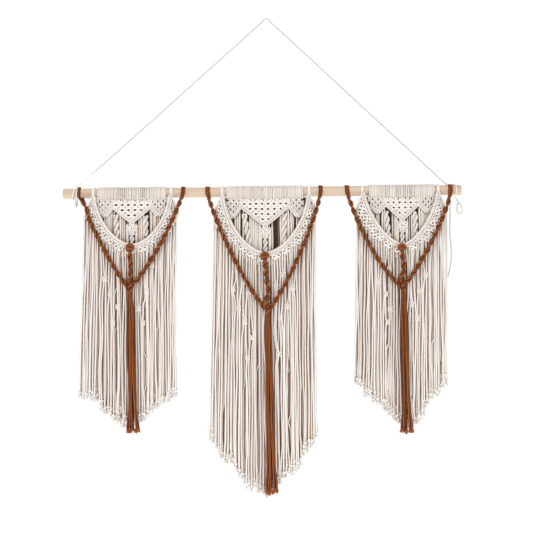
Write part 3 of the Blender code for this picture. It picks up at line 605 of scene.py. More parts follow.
def yarn_material(name, colour, shade, plies=3.0, per_cm=2.3, reach=0.016, open_share=0.56,
                  dull=(0.86, 0.825, 0.79), pale=1.12, groove_shade_share=0.42, bump=0.5, sheen=0.15):
    """Twisted yarn with painted shade: its colour runs to the painted shade colour between plies
    and, by the ambient occlusion, deep between strands. A tone of 0 to 1 goes from dull to pale,
    one under 0 adds painted shade as less open air would, and one over 1 lifts it out of it."""
    made = bpy.data.materials.get(name)
    if made:
        return made
    made = bpy.data.materials.new(name)
    made.use_nodes = True
    tree = made.node_tree
    shader = tree.nodes["Principled BSDF"]
    twist = add_node(tree, "ShaderNodeGroup", (-6, 0), node_tree=twist_group())
    twist.inputs["Plies"].default_value = plies
    twist.inputs["Plies per cm"].default_value = per_cm
    tone = add_node(tree, "ShaderNodeAttribute", (-6, 2), attribute_name="tone")
    # Painted shade from the ambient occlusion: the less open air near a place, the darker it is
    # painted
    shade_occlusion = add_node(tree, "ShaderNodeAmbientOcclusion", (-6, 4), samples=6)
    shade_occlusion.inputs["Distance"].default_value = reach
    # A tone under 0 adds painted shade, and a tone over 1 lifts the yarn out of it
    shadow = math_node(tree, "MINIMUM", (-5, 3), tone.outputs["Fac"], 0.0)
    raised = math_node(tree, "ADD", (-5, 5), shadow, shade_occlusion.outputs["AO"])
    over_one = math_node(tree, "MULTIPLY_ADD", (-5, 6), tone.outputs["Fac"], 1.0, -1.0)
    shade_lift = math_node(tree, "MAXIMUM", (-4, 5), over_one, 0.0)
    spread = add_node(tree, "ShaderNodeMapRange", (-3, 5), interpolation_type="SMOOTHSTEP")
    spread.inputs["From Min"].default_value = open_share * SHADE_START
    spread.inputs["From Max"].default_value = open_share
    tree.links.new(math_node(tree, "ADD", (-4, 4), raised, shade_lift), spread.inputs["Value"])
    lit = spread.outputs["Result"]
    paler = tuple(min(1.0, channel * pale) for channel in colour)
    duller = tuple(channel * factor for channel, factor in zip(colour, dull))
    varied = mix_node(tree, (-4, 2), tone.outputs["Fac"], duller, paler)
    fibre_tint = math_node(tree, "MULTIPLY", (-4, 0), twist.outputs["Fibres"], FIBRE_TINT)
    varied = mix_node(tree, (-3, 2), fibre_tint, varied, duller)
    # Painted shade between the plies, by the groove mask
    groove_shade = math_node(tree, "MULTIPLY", (-4, 1), twist.outputs["Groove"], groove_shade_share)
    varied = mix_node(tree, (-2, 2), groove_shade, varied, shade)
    # Deep painted shade: from the shade colour down to its darkest share
    deep = add_node(tree, "ShaderNodeMapRange", (-3, 6))
    deep.inputs["From Min"].default_value = DEEPENING[0]
    deep.inputs["From Max"].default_value = DEEPENING[1]
    tree.links.new(raised, deep.inputs["Value"])
    darkest = tuple(channel * DEEPEST for channel in shade)
    shaded = mix_node(tree, (-2, 4), deep.outputs["Result"], darkest, shade)
    # Where the open air is low, the painted shade takes the place of the yarn's colour
    varied = mix_node(tree, (-1, 2), lit, shaded, varied)
    tree.links.new(varied, shader.inputs["Base Color"])
    shader.inputs["Roughness"].default_value = 0.9
    shader.inputs["Specular IOR Level"].default_value = 0.2
    shader.inputs["Sheen Weight"].default_value = sheen
    shader.inputs["Sheen Roughness"].default_value = 0.5
    relief = add_node(tree, "ShaderNodeBump", (-2, -1))
    relief.inputs["Strength"].default_value = bump
    relief.inputs["Distance"].default_value = 0.0005
    tree.links.new(twist.outputs["Height"], relief.inputs["Height"])
    tree.links.new(relief.outputs[0], shader.inputs["Normal"])
    return made


def cotton():
    """The cream cotton of the nets, drapes and fringes."""
    return yarn_material("cream_cotton_yarn", tuple(colours().cotton),
                         tuple(colours().cotton_shade))


def rust():
    """The rust-brown cotton, with deeper grooves, darker painted shade in them and between cords,
    and a wider range of tones.
    """
    return yarn_material("rust_cotton_yarn", tuple(colours().rust), tuple(colours().rust_shade),
                         reach=0.009, open_share=0.78, dull=(0.42, 0.38, 0.34), pale=1.60,
                         groove_shade_share=0.55, bump=0.6, sheen=0.05)


def cord_yarn():
    """The smoother two-ply yarn of the hanging cord, its duller tone a plain grey that the cord
    gets as painted shade.
    """
    return yarn_material("hanging_cord_yarn", tuple(colours().cord), tuple(colours().cord_shade),
                         plies=2.0, per_cm=1.6, reach=0.004, dull=(0.68, 0.68, 0.68),
                         groove_shade_share=0.08, bump=0.1)


def wood_material():
    """Pale planed wood: long soft rings along the rod, fine pores, and darker flecks."""
    made = bpy.data.materials.new("pale_wood")
    made.use_nodes = True
    tree = made.node_tree
    shader = tree.nodes["Principled BSDF"]
    place = add_node(tree, "ShaderNodeTexCoord", (-8, 0))
    long_grain = add_node(tree, "ShaderNodeMapping", (-7, 1))
    long_grain.inputs["Scale"].default_value = (3.0, 60.0, 60.0)
    pores = add_node(tree, "ShaderNodeMapping", (-7, -1))
    pores.inputs["Scale"].default_value = (40.0, 900.0, 900.0)
    for mapping in (long_grain, pores):
        tree.links.new(place.outputs["Object"], mapping.inputs[0])
    rings = add_node(tree, "ShaderNodeTexNoise", (-6, 1))
    rings.inputs["Scale"].default_value = 1.0
    rings.inputs["Detail"].default_value = 3.0
    rings.inputs["Distortion"].default_value = 0.2
    fine = add_node(tree, "ShaderNodeTexNoise", (-6, -1))
    fine.inputs["Scale"].default_value = 1.0
    fine.inputs["Detail"].default_value = 2.0
    tree.links.new(long_grain.outputs[0], rings.inputs["Vector"])
    tree.links.new(pores.outputs[0], fine.inputs["Vector"])
    pale = tuple(colours().wood)
    dark = tuple(c * f for c, f in zip(pale, (0.80, 0.70, 0.60)))
    sharper = math_node(tree, "MULTIPLY_ADD", (-5, 1), rings.outputs[0], 2.4, -0.85)
    band = math_node(tree, "SMOOTH_MAX", (-4, 1), sharper, 0.0, 0.2)
    base = mix_node(tree, (-3, 1), band, pale, dark)
    fleck = math_node(tree, "MULTIPLY", (-4, -1), fine.outputs[0], 0.20)
    base = mix_node(tree, (-2, 1), fleck, base, dark)
    tree.links.new(base, shader.inputs["Base Color"])
    rough = math_node(tree, "MULTIPLY_ADD", (-2, -1), fine.outputs[0], 0.2, 0.5)
    tree.links.new(rough, shader.inputs["Roughness"])
    relief = add_node(tree, "ShaderNodeBump", (-2, -2))
    relief.inputs["Strength"].default_value = 0.12
    relief.inputs["Distance"].default_value = 0.0002
    tree.links.new(fine.outputs[0], relief.inputs["Height"])
    tree.links.new(relief.outputs[0], shader.inputs["Normal"])
    return made


# Shapes that the pieces share


def hung(turn, left, right, drop, fullness, shift=0.0):
    """A cord hung between two places on the rod: across it goes as the sine of turn and down
    as its cosine, both raised to 2 / fullness."""
    turn = np.asarray(turn, float)
    level = np.abs(np.cos(turn)) ** (2 / fullness)
    wide = np.sign(turn) * np.abs(np.sin(turn)) ** (2 / fullness)
    x = wide * np.where(turn > 0, right, left) + shift * level
    return np.stack([x, np.zeros_like(x), -drop * level], -1)


def coming_forward(z, on_rod, hanging, height):
    """How far forward a hung loop is: on the rod's face at first, then over a height to its
    hanging place, with level ends."""
    return mix(on_rod, hanging, smooth((-z - LOOP_STRAIGHT) / height))


def drape_line(panel, turn):
    """The middle line of the drape, coming forward from the rod's face as it leaves it."""
    line = hung(turn, panel.drape_left, panel.drape_right, panel.drape_drop, panel.fullness)
    line[..., 1] = coming_forward(line[..., 2], DRAPE_LOOP_Y, DRAPE_Y, 0.026)
    return line


def under_drape(panel, co, fade):
    """1 inside the drape's loop, falling to 0 at a distance of fade under its bar: the height
    above the bar's lower edge plus fade, over fade, with level ends."""
    line = drape_line(panel, np.linspace(-HANG_TURN, HANG_TURN, 80))
    bar = np.interp(co[:, 0], line[:, 0], line[:, 2])
    return smooth((co[:, 2] - bar + fade - DRAPE_BAR_HALF) / fade)


def in_shadow(panel, part, routes, shadow):
    """The same tubes with painted shade inside the drape's loop: their tone lowered by each pair
    of an amount and a distance of fade, except on the side of them that faces the wall."""
    co, corners, counts, uv, tones = part
    behind = co[:, 1].reshape(len(routes), routes.shape[1], -1) - routes[..., 1:2]
    seen = smooth(1.0 - behind.ravel() / behind.max() * 1.1)
    for amount, fade in shadow:
        tones = tones - amount * seen * under_drape(panel, co, fade)
    return co, corners, counts, uv, tones


def outward(line):
    """The direction away from the middle of a hung line, in the plane of the panel: the
    line's direction turned a quarter."""
    along = unit(np.gradient(line, axis=0))
    return unit(np.stack([along[:, 2], np.zeros(len(line)), -along[:, 0]], -1))


def over_rod(x, radius, start, end, count):
    """Places on a circle round the rod: x, less radius times the sine, and the cosine."""
    angle = np.linspace(radians(start), radians(end), count)
    x = np.asarray(x, float)[..., None]
    return np.stack([np.broadcast_to(x, x.shape[:-1] + (count,)),
                     np.broadcast_to(-radius * np.sin(angle), x.shape[:-1] + (count,)),
                     np.broadcast_to(radius * np.cos(angle), x.shape[:-1] + (count,))], -1)


def square_knots(drawn, places, size, cord=1.0, sides=6, tone=0.5, turn=0.0):
    """Square knots at places (N, 3): the drawn cords times size, turned in the plane of the
    panel, with two stations for each drawn place."""
    places = np.asarray(places, float)[:, None, :]
    turn = np.broadcast_to(turn, len(places))[:, None]
    parts = []
    for route in drawn:
        x, y, z = through(np.array(route), 2 * len(route) + 1).T
        shape = np.stack([x * np.cos(turn) - z * np.sin(turn), y * np.ones_like(turn),
                          x * np.sin(turn) + z * np.cos(turn)], -1) * size
        parts.append(tubes(places + shape, cord * size, sides=sides, tone=tone))
    return parts


def hitched_row(route, row_width, cord, tone=0.5, stations=9):
    """A row of hitches: one cord wound tightly round a line, each turn a little more than a
    cord's width on, with so many stations to a turn."""
    lay = cord * 1.05
    coil = wound(evenly(route, lay / stations), (row_width - cord) / 2, lay)
    return tubes(coil, cord, sides=6, tone=tone)


def hitched_bar(route, rows, tone=0.5):
    """Rows of hitches side by side along a line, with the line's own cord inside each. A row
    is (how far it lies to the line's left, its width, its cord)."""
    aside = outward(route)
    parts = []
    for away, row_width, cord in rows:
        line = route + aside * away
        parts.append(hitched_row(line, row_width, cord, tone))
        parts.append(tubes(line, row_width - 1.5 * cord, sides=6, tone=tone))
    return parts


def twisted_sinnet(start, end, ridge, reach, lay, cord, tone=0.5, phase=0.0):
    """A spiral sinnet: two ridges wound round its line, each a cord wound round the ridge."""
    halfway = mix(np.array(start), np.array(end), 0.5)
    line = evenly(through(np.array([start, halfway, end]), 40), 0.002)
    parts = []
    for side in (0.0, pi):
        centre = wound(line, reach, lay, phase + side)
        parts.append(hitched_row(centre, ridge, cord, tone))
        parts.append(tubes(centre, ridge - 1.2 * cord, sides=6, tone=tone))
    return parts


def frayed_ends(tips, rng, width, length, fibres=8):
    """Tufts under the end knots: fibres that leave the strand together and spread as the
    distance to the power of 1.3, each to its own side."""
    count = len(tips)
    side = rng.uniform(0, 2 * pi, (count, fibres))
    spread = rng.uniform(0.2, 1.0, (count, fibres)) * width * 1.05
    reach = rng.uniform(0.6, 1.0, (count, fibres)) * length
    step = np.linspace(0, 1, 4)
    away = np.stack([np.cos(side), np.sin(side)], -1)
    near = away * (rng.uniform(0.05, 0.32, (count, fibres)) * width)[..., None]
    flat = near[:, :, None] + away[:, :, None] * (spread[..., None] * step ** 1.3)[..., None]
    down = -reach[..., None] * step
    routes = tips[:, None, None] + np.concatenate([flat, down[..., None]], -1)
    widths = width * 0.56 * np.array([0.9, 1.0, 1.0, 0.7])
    return tubes(routes.reshape(-1, 4, 3), widths, sides=3,
                 tone=np.repeat(rng.uniform(1.55, 1.9, count), fibres))


def end_knots(tips, rng, width):
    """Overhand knots: one turn and a half of the strand round itself, going down evenly and
    leaning to a side by a share of its place across."""
    count = len(tips)
    turn = np.linspace(0, 3 * pi, 12)[None]
    phase = rng.uniform(0, 2 * pi, (count, 1))
    lean = rng.uniform(-0.5, 0.5, (count, 1))
    radius = width * 0.54
    half_height = width * 0.6175
    x = radius * np.cos(turn + phase)
    y = radius * np.sin(turn + phase) * 0.85
    z = np.linspace(half_height, -half_height, 12)[None] + lean * x
    routes = tips[:, None] + np.stack([x, y, np.broadcast_to(z, x.shape)], -1)
    return tubes(routes, width * 0.90, sides=5, tone=rng.uniform(1.3, 1.6, count))


def tip_depth(panel, x):
    """Depth of the end knots at a place across the panel, straight between the outline's
    points."""
    table = np.array(TIPS[panel.name])
    return np.interp(x, table[:, 0], table[:, 1]) - TIP_LIFT


def swaying(rng, strands, rings, amount):
    """Sideways wander of hanging strands: two slow sines with chance sizes and phases, less
    their own value at the top, and grown from nothing over the first sixth."""
    s = np.linspace(0, 1, rings)[None]
    total = 0
    for waves in (1.3, 2.9):
        phase = rng.uniform(0, 2 * pi, (strands, 1))
        size = rng.normal(0, 1, (strands, 1)) * amount / waves ** 0.7
        total = total + size * (np.sin(2 * pi * waves * s + phase) - np.sin(phase) * (1 - s) ** 3)
    return total * smooth(s * 6)


def drawn_to_knots(panel, x, z, reach=0.022, beside=0.0019):
    """Move strands sideways to the small knots that join them: at each knot the nearest two
    that pass it go to beside its middle, falling off up and down as a bell."""
    for knot_x, depth in FRINGE_KNOTS[panel.name]:
        row = np.argmin(np.abs(z + depth), axis=1)
        here = x[np.arange(len(x)), row]
        passing = (z.min(axis=1) < -depth) & (z.max(axis=1) - 0.01 > -depth)
        nearest = np.argsort(np.where(passing, np.abs(here - knot_x), np.inf))[:2]
        if here[nearest[0]] > here[nearest[1]]:
            nearest = nearest[::-1]
        for index, aside in zip(nearest, (-beside, beside)):
            bell = np.exp(-((z[index] + depth) / reach) ** 2)
            x[index] += (knot_x + aside - here[index]) * bell
    return x


def parted(panel, x, z, push=0.0026, breadth=0.0075, fade=0.03):
    """Move strands away from the dark partings of the fringe: by a push that falls off across
    as a bell of that breadth, and over fade at the parting's two ends."""
    for at, top, bottom in PARTINGS[panel.name]:
        window = smooth((-z - top) / fade + 0.5) * smooth((bottom + z) / fade + 0.5)
        away = x - at
        x = x + np.sign(away) * push * np.exp(-(away / breadth) ** 2) * window
    return x


# A layer of fringe: its strands' routes and width, the share of the width at their tops, the
# share of them painted in shade, and how much painted shade it gets inside the drape's loop,
# as pairs of an amount and a distance of fade
Layer = namedtuple("Layer", "routes width top dim shadow")

# How far under 0 the tones of a layer's strands painted in shade are, the tones of its others,
# and the shares of its width that they have
SHADED_TONES = (0.02, 0.22)
PALE_TONES = (0.25, 1.0)
STRAND_SHARES = (0.86, 1.12)


def hang_fringe(name, panel, layers, rng, nodes, extra=()):
    """Layers of fringe: strands with painted shade on some of them and inside the drape's loop,
    their end knots and frayed ends.
    """
    parts = list(extra)
    for layer in layers:
        count = len(layer.routes)
        # Painted shade: a share of the strands gets a tone under 0
        dark = rng.uniform(0, 1, count) < layer.dim
        tone = np.where(dark, -rng.uniform(*SHADED_TONES, count), rng.uniform(*PALE_TONES, count))
        share = rng.uniform(*STRAND_SHARES, (count, 1))
        width = layer.width * share * np.ones(layer.routes.shape[1])
        width[:, 0] *= layer.top
        strands = tubes(layer.routes, width, sides=6, tone=tone)
        parts.append(in_shadow(panel, strands, layer.routes, layer.shadow))
        tips = layer.routes[:, -1]
        parts.append(end_knots(tips, rng, layer.width))
        parts.append(frayed_ends(tips - (0, 0, 0.003), rng, layer.width, sizes().tuft))
    return make_piece(name, parts, cotton(), nodes, panel_middle(panel))


# Pieces


def build_rod():
    """The rod keeps its solid and gets planed wood."""
    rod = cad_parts["rod"]
    rod.data.materials.clear()
    rod.data.materials.append(wood_material())


def build_heading(panel):
    """Folded cords over the rod: up the front, over, round the bight at the back and home.
    Their ends lie lower in the middle, and there some of the cords are narrower."""
    rng = chance(panel, 1)
    pairs = int(round(panel.net_half / HEADING_CORD))
    middles = (np.arange(pairs) - (pairs - 1) / 2) * (2 * panel.net_half / pairs)
    middles = middles + rng.uniform(-0.0006, 0.0006, pairs)
    aside = HEADING_CORD * rng.uniform(0.50, 0.53, pairs)
    zero = np.zeros(pairs)
    left = over_rod(zero, HEADING_RADIUS, 96, -118, 15)
    left[..., 0] += (middles - aside)[:, None]
    right = left[:, ::-1] + np.array([2, 0, 0]) * aside[:, None, None]
    ends = -HEADING_END - 0.0035 * np.exp(-(middles / 0.058) ** 6)
    low = np.stack([zero, zero + NET_Y + 0.0006, ends], -1)
    start = (low + np.stack([middles - aside, zero, zero], -1))[:, None]
    end = (low + np.stack([middles + aside, zero, zero], -1))[:, None]
    bight = over_rod(middles, HEADING_RADIUS + 0.0004, -134, -134, 1)
    routes = through(np.concatenate([start, left, bight, right, end], axis=1), 60)
    near_middle = np.exp(-(middles / 0.050) ** 4)
    width = HEADING_CORD * (1.14 - 0.42 * near_middle * rng.uniform(0.0, 1.0, pairs) ** 2)
    # Tones at random; those under 0 give a cord a little painted shade
    tone = rng.uniform(-0.16, 0.45, pairs)
    parts = [tubes(routes, width[:, None], HEADING_THICK, sides=8, tone=tone)]
    make_piece("heading_" + panel.name, parts, cotton(),
               ["net_" + panel.name], panel_middle(panel))


def lattice_places(panel):
    """The middles of the square knots over the point of the net, one fewer in each row."""
    places = []
    for row in range(panel.knot_rows):
        count = panel.knot_rows - row
        x = (np.arange(count) - (count - 1) / 2) * panel.knot_pitch
        z = np.full(count, -NET_TOP - row * NET_ROW)
        places.append(np.stack([x, np.full(count, NET_Y), z], -1))
    places = np.concatenate(places)
    return places + chance(panel, 11).uniform(-0.0006, 0.0006, places.shape) * (1, 0.2, 0.8)


def shoulder_places(panel):
    """The middles of the small knots in the two shoulders of the net: rows with every other
    one half a pitch aside, as far as the bars and the knots of the point leave room."""
    places = []
    for side in (-1, 1):
        for row in range(5):
            z = -SHOULDER_TOP - row * SHOULDER_ROW
            steps = np.arange(-1, 5) + 0.5 * (row % 2)
            for x in panel.peak - 0.002 + steps * SHOULDER_PITCH:
                room = net_depth(panel, x) - 0.005 + z
                inner = panel.peak - 0.004 + max(0.0, -z - 0.030) * 0.4
                if room > 0 and inner < x < panel.net_half + 0.002:
                    places.append((side * x, NET_Y + 0.0002, z))
    return np.array(places)


def build_net(panel):
    """The net under the rod: rows of square knots, smaller ones in its two shoulders, and the
    straight core cords from the heading through the knots to the zigzag bars."""
    rng = chance(panel, 2)
    places = lattice_places(panel)
    parts = square_knots(OPEN_KNOT, places, panel.knot_pitch / OPEN_PITCH, OPEN_CORD, 8,
                         rng.uniform(0.90, 1.05, len(places)))
    shoulder = shoulder_places(panel)
    tone = rng.uniform(1.0, 1.15, len(shoulder))
    parts += square_knots(TIGHT_KNOT, shoulder, SHOULDER_KNOT_CORD, tone=tone)
    half = panel.knot_pitch / 2
    columns = np.arange(-panel.knot_rows * 2, panel.knot_rows * 2 + 1) * half
    columns = columns[np.abs(columns) < panel.peak + 0.004]
    low = np.repeat(net_depth(panel, columns) - 0.001, 2)[:, None]
    x = np.repeat(columns, 2) + np.tile((-0.0017, 0.0017), len(columns))
    z = -mix(0.0165, low, np.linspace(0, 1, 5))
    across = np.broadcast_to(x[:, None], z.shape)
    routes = np.stack([across, np.full(z.shape, NET_Y - 0.0004), z], -1)
    parts.append(tubes(routes, 0.0046, 0.0034, sides=6, tone=rng.uniform(0.7, 0.95, len(x))))
    make_piece("net_knots_" + panel.name, parts, cotton(),
               ["net_" + panel.name], panel_middle(panel))


def net_depth(panel, x):
    """Depth of the zigzag bars under the rod's axis at a place across the panel, straight
    from the point in the middle to the peak, the side's point and the edge."""
    reach = (0.0, panel.peak, panel.side_vee, panel.net_half)
    depth = (panel.vee, panel.peak_depth, panel.side_depth, panel.net_end)
    return np.interp(np.abs(x), reach, depth)


def build_zigzag(panel):
    """The net's hitched bars: the point in the middle and a smaller one at each side."""
    rng = chance(panel, 3)
    row = sizes().zigzag_row
    cord = sizes().hitch_cord * 0.9
    rows = ((-row * 0.43, row, cord), (row * 0.43, row, cord))
    parts = []
    corners = ((0.0, panel.vee + 0.001), (panel.peak, panel.peak_depth),
               (panel.side_vee, panel.side_depth), (panel.net_half + 0.001, panel.net_end))
    for side in (-1, 1):
        for (x0, low0), (x1, low1), ahead in zip(corners, corners[1:], (0.0, 0.0008, 0.0)):
            front = NET_Y - ahead
            halfway = (side * (x0 + x1) / 2, front - 0.0022, -(low0 + low1) / 2 - 0.0008)
            line = np.array([(side * x0, front - 0.0012, -low0), halfway,
                             (side * x1, front - 0.0008, -low1)])
            parts += hitched_bar(through(line, 24), rows, rng.uniform(1.2, 1.3))
    make_piece("zigzag_" + panel.name, parts, cotton(),
               ["net_" + panel.name], panel_middle(panel))


def build_sinnets(panel):
    """Knotted cords under the zigzag bars, the diamond of knots in the middle with a thinner
    sinnet under it, and the two straight cords at each side of it."""
    rng = chance(panel, 4)
    parts = []
    y = NET_Y - 0.0006
    for x0, z0, x1, z1 in SINNETS[panel.name]:
        parts += twisted_sinnet((x0, y, -z0), (x1, y, -z1), ridge=0.0078, reach=0.0040, lay=0.041,
                                cord=0.0036, tone=rng.uniform(1.15, 1.25),
                                phase=rng.uniform(0, 2 * pi))
    top = panel.vee + 0.007
    low = panel.drape_drop - 0.002
    half = DIAMOND_PITCH / 2
    diamond = np.array([(0.0, y, -top - 0.0035), (-half, y, -top - 0.0110),
                        (half, y, -top - 0.0110), (0.0, y, -top - 0.0185)])
    parts += square_knots(TIGHT_KNOT, diamond, DIAMOND_KNOT_CORD, sides=7,
                          tone=rng.uniform(1.2, 1.3, 4))
    parts += twisted_sinnet((0.0, y, -top - 0.0235), (0.0, y - 0.003, -low), ridge=0.0066,
                            reach=0.0034, lay=0.031, cord=0.0032, tone=1.2, phase=0.4)
    for side in (-1, 1):
        for start, out, depth in ((0.0105, 0.0128, 0.012), (0.0070, 0.0098, 0.021)):
            line = np.array([(side * start, y + 0.001, -top + 0.004 - depth * 0.2),
                             (side * out, y + 0.001, -top - depth),
                             (side * (out - 0.0008), y + 0.002, -low)])
            parts.append(tubes(through(line, 16), sizes().strand * 0.9, sides=8,
                               tone=rng.uniform(0.6, 1.0)))
    make_piece("sinnets_" + panel.name, parts, cotton(),
               ["net_" + panel.name], panel_middle(panel))


def behind_net(panel, rng, x0, start, y, shallow):
    """Strands from the net down to the points of the fringe, a little wider apart there: from
    start to tip by even steps down, and across by the distance to the power of 0.8."""
    rings = 26
    count = len(x0)
    s = np.linspace(0, 1, rings)[None]
    x1 = x0 * 1.15 + rng.uniform(-0.002, 0.002, count)
    tips = tip_depth(panel, x1) - shallow - rng.uniform(0.000, 0.024, count)
    z = -mix(start[:, None], tips[:, None], s)
    sway = swaying(rng, count, rings, sizes().sway * 0.8) * smooth(s * 2)
    x = mix(x0[:, None], x1[:, None], s ** 0.8) + sway
    y = np.broadcast_to(y + rng.uniform(-0.0006, 0.0006, (count, 1)), z.shape)
    return np.stack([x, y, z], -1)


def spread_out(rng, half, pitch):
    """Places across a panel at about the pitch, each a little off its even place."""
    count = int(round(2 * half / pitch))
    return np.linspace(-half, half, count) + rng.uniform(-0.0007, 0.0007, count)


def build_back_fringe(panel):
    """Strands behind the net, from under the rod down to the points of the fringe, and those
    that leave the zigzag bars between the sinnets."""
    rng = chance(panel, 5)
    width = sizes().strand * BACK_SHARE
    behind = spread_out(rng, panel.net_half + 0.005, BACK_PITCH)
    leaving = spread_out(rng, panel.net_half - 0.002, BACK_PITCH)
    kept = np.abs(leaving) > 0.0125
    for place, half in OPENINGS[panel.name]:
        kept &= np.abs(leaving - place) > half
    for left, _, right, _ in SINNETS[panel.name]:
        kept &= np.abs(leaving - (left + right) / 2) > 0.0042
    leaving = leaving[kept]
    under_rod = np.full(len(behind), 0.0150)
    back = behind_net(panel, rng, behind, under_rod, BACK_STRAND_Y, 0.0)
    front = behind_net(panel, rng, leaving, net_depth(panel, leaving), NET_Y + 0.0010, 0.004)
    layers = (Layer(back, width, top=1.0, dim=0.55, shadow=((1.52, 0.020), (0.35, 0.110))),
              Layer(front, width, top=0.55, dim=0.38, shadow=((0.20, 0.080),)))
    hang_fringe("back_fringe_" + panel.name, panel, layers, rng, ["net_" + panel.name])


def build_drape(panel):
    """The white loops over the rod, two cords each, and the hitched bar that hangs from them,
    with a wider row of hitches inside and a narrower one outside."""
    line = drape_line(panel, np.linspace(-HANG_TURN, HANG_TURN, 160))
    line = evenly(line, 0.003) - (0, 0.0012, 0)
    inner = sizes().drape_row
    outer = inner * 0.66
    rows = ((-outer * 0.44, inner, 0.0042), (inner * 0.44, outer, 0.0034))
    parts = hitched_bar(line, rows, 1.25)
    for reach, end in ((-panel.drape_left, line[0]), (panel.drape_right, line[-1])):
        for side in (-1, 1):
            loop = over_rod(reach + side * 0.0017, DRAPE_LOOP_RADIUS, 104, -128, 16)
            below = end + (side * 0.0030, 0, -0.006)
            route = through(np.concatenate([below[None], loop]), 36)
            parts.append(tubes(route, DRAPE_LOOP_CORD, DRAPE_LOOP_THICK, sides=8, tone=1.15))
    make_piece("drape_bar_" + panel.name, parts, cotton(),
               ["drape_" + panel.name], panel_middle(panel))


def build_drape_knots(panel):
    """The fan of cords that leaves the drape's bar, and on it rows of square knots along the
    bar, every other one half a pitch on. The outer rows end where the fan turns down."""
    rng = chance(panel, 7)
    line = drape_line(panel, np.linspace(-HANG_TURN, HANG_TURN, 500))
    aside = outward(line)
    distance = travelled(line)
    hold = wing_edge(panel)
    pitch = distance[-1] / round(distance[-1] / DRAPE_KNOT_PITCH)

    def on_line(at, values):
        return np.stack([np.interp(at, distance, values[:, axis]) for axis in range(3)], -1)

    at = np.arange(0.018, distance[-1] - 0.018, 0.0046)
    start = on_line(at, line)
    out = on_line(at, aside)
    down = unit(out + (0, 0, -0.6))
    steps = ((0.004, 0.0, DRAPE_Y + 0.0022), (0.0105, 0.0, DRAPE_Y + 0.0034),
             (0.015, 0.006, FRONT_STRAND_Y + 0.0022), (0.017, 0.014, FRONT_STRAND_Y + 0.0032))
    fan = np.stack([start + out * away + down * fall for away, fall, _ in steps], 1)
    fan[..., 0] = hold(fan[..., 0], fan[..., 2])
    fan[..., 1] = [y for _, _, y in steps]
    parts = [tubes(through(fan, 10), 0.0042, sides=6, tone=rng.uniform(0.2, 0.6, len(at)))]
    lowest = (-1.0, -panel.drape_drop * 0.86, -panel.drape_drop * 0.55)
    for row, away in enumerate(DRAPE_KNOT_ROWS):
        at = np.arange(pitch * (0.35 + 0.5 * (row % 2)), distance[-1], pitch)
        place = on_line(at, line + aside * away)
        facing = on_line(at, aside)
        turn = np.arctan2(facing[:, 0], -facing[:, 2]) * 0.85
        place[:, 1] += 0.0004 + row * 0.0012
        edge = place[:, 0] + 0.010 * np.sign(place[:, 0])
        kept = np.abs(hold(edge, place[:, 2]) - edge) < 0.0005
        kept &= (place[:, 2] > lowest[row]) & (place[:, 2] < -0.020)
        place = place[kept] + rng.uniform(-0.0008, 0.0008, (kept.sum(), 3)) * (1, 0.3, 1)
        tone = rng.uniform(1.05, 1.15, len(place))
        size = pitch / OPEN_PITCH * 0.97
        parts += square_knots(OPEN_KNOT, place, size, OPEN_CORD, 7, tone, turn[kept])
    make_piece("drape_knots_" + panel.name, parts, cotton(),
               ["drape_" + panel.name], panel_middle(panel))


def wing_edge(panel):
    """Hold places inside the slanted edges on which the fringe leaves the drape's loops."""
    top = 0.016
    slant = 0.42

    def hold(x, z):
        out = 0.004 + np.maximum(-z - top, 0.0) * slant
        return np.clip(x, -panel.drape_left - out, panel.drape_right + out)

    return hold


def drape_routes(panel, rng, y, first, shorter):
    """Strands of the drape, from its bar or knots to the points of the fringe. Their shares
    of the panel's width are even; first is the place of the first one in its step. A strand
    leaves the bar and settles, as a quarter of a sine, on the line from its place at the
    panel's edge share down to its tip."""
    rings = 36
    count = panel.strands - (first > 0.5)
    share = (np.arange(count) + first) / panel.strands * 2 - 1
    share = share + rng.uniform(-0.5, 0.5, count) / count
    root = drape_line(panel, np.clip(share, -0.99, 0.99) * HANG_TURN)
    reach = np.where(share < 0, panel.tip_left, panel.tip_right)
    tip_x = share * (reach - 0.002)
    tips = (tip_depth(panel, tip_x) - shorter * rng.uniform(-0.35, 1.0, count))[:, None]
    top = -root[:, 2:3] - 0.001
    x0 = panel.edge * share
    bend = 0.014 + 0.75 * np.abs(x0 - root[:, 0])[:, None]
    s = np.linspace(0, 1, rings)[None]
    z = -mix(top, tips, s ** 1.2)
    fall = -z - top
    straight = mix(x0[:, None], tip_x[:, None], np.clip(fall / (tips - top), 0, 1) ** 0.8)
    settle = np.sin(np.clip(fall / bend, 0, 1) * pi / 2) ** 0.8
    x = mix(root[:, :1], straight, settle) + swaying(rng, count, rings, sizes().sway)
    x = wing_edge(panel)(x, z)
    ys = mix(root[:, 1:2] + 0.0010, y + rng.uniform(-0.0005, 0.0005, (count, 1)), settle)
    return np.stack([x, np.broadcast_to(ys, x.shape), np.broadcast_to(z, x.shape)], -1)


def build_front_fringe(panel):
    """The front of the fringe, with the small knots that join some of its strands."""
    rng = chance(panel, 8)
    routes = drape_routes(panel, rng, FRONT_STRAND_Y, 0.5, 0.013)
    x = drawn_to_knots(panel, routes[..., 0], routes[..., 2])
    routes[..., 0] = parted(panel, x, routes[..., 2])
    y = FRONT_STRAND_Y - 0.0006
    places = np.array([(x, y, -depth) for x, depth in FRINGE_KNOTS[panel.name]])
    tone = rng.uniform(1.1, 1.2, len(places))
    knots = square_knots(TIGHT_KNOT, places, FRINGE_KNOT_CORD, tone=tone)
    layers = (Layer(routes, sizes().strand * FRONT_SHARE, top=1.0, dim=0.04, shadow=()),)
    hang_fringe("front_fringe_" + panel.name, panel, layers, rng, ["drape_" + panel.name], knots)


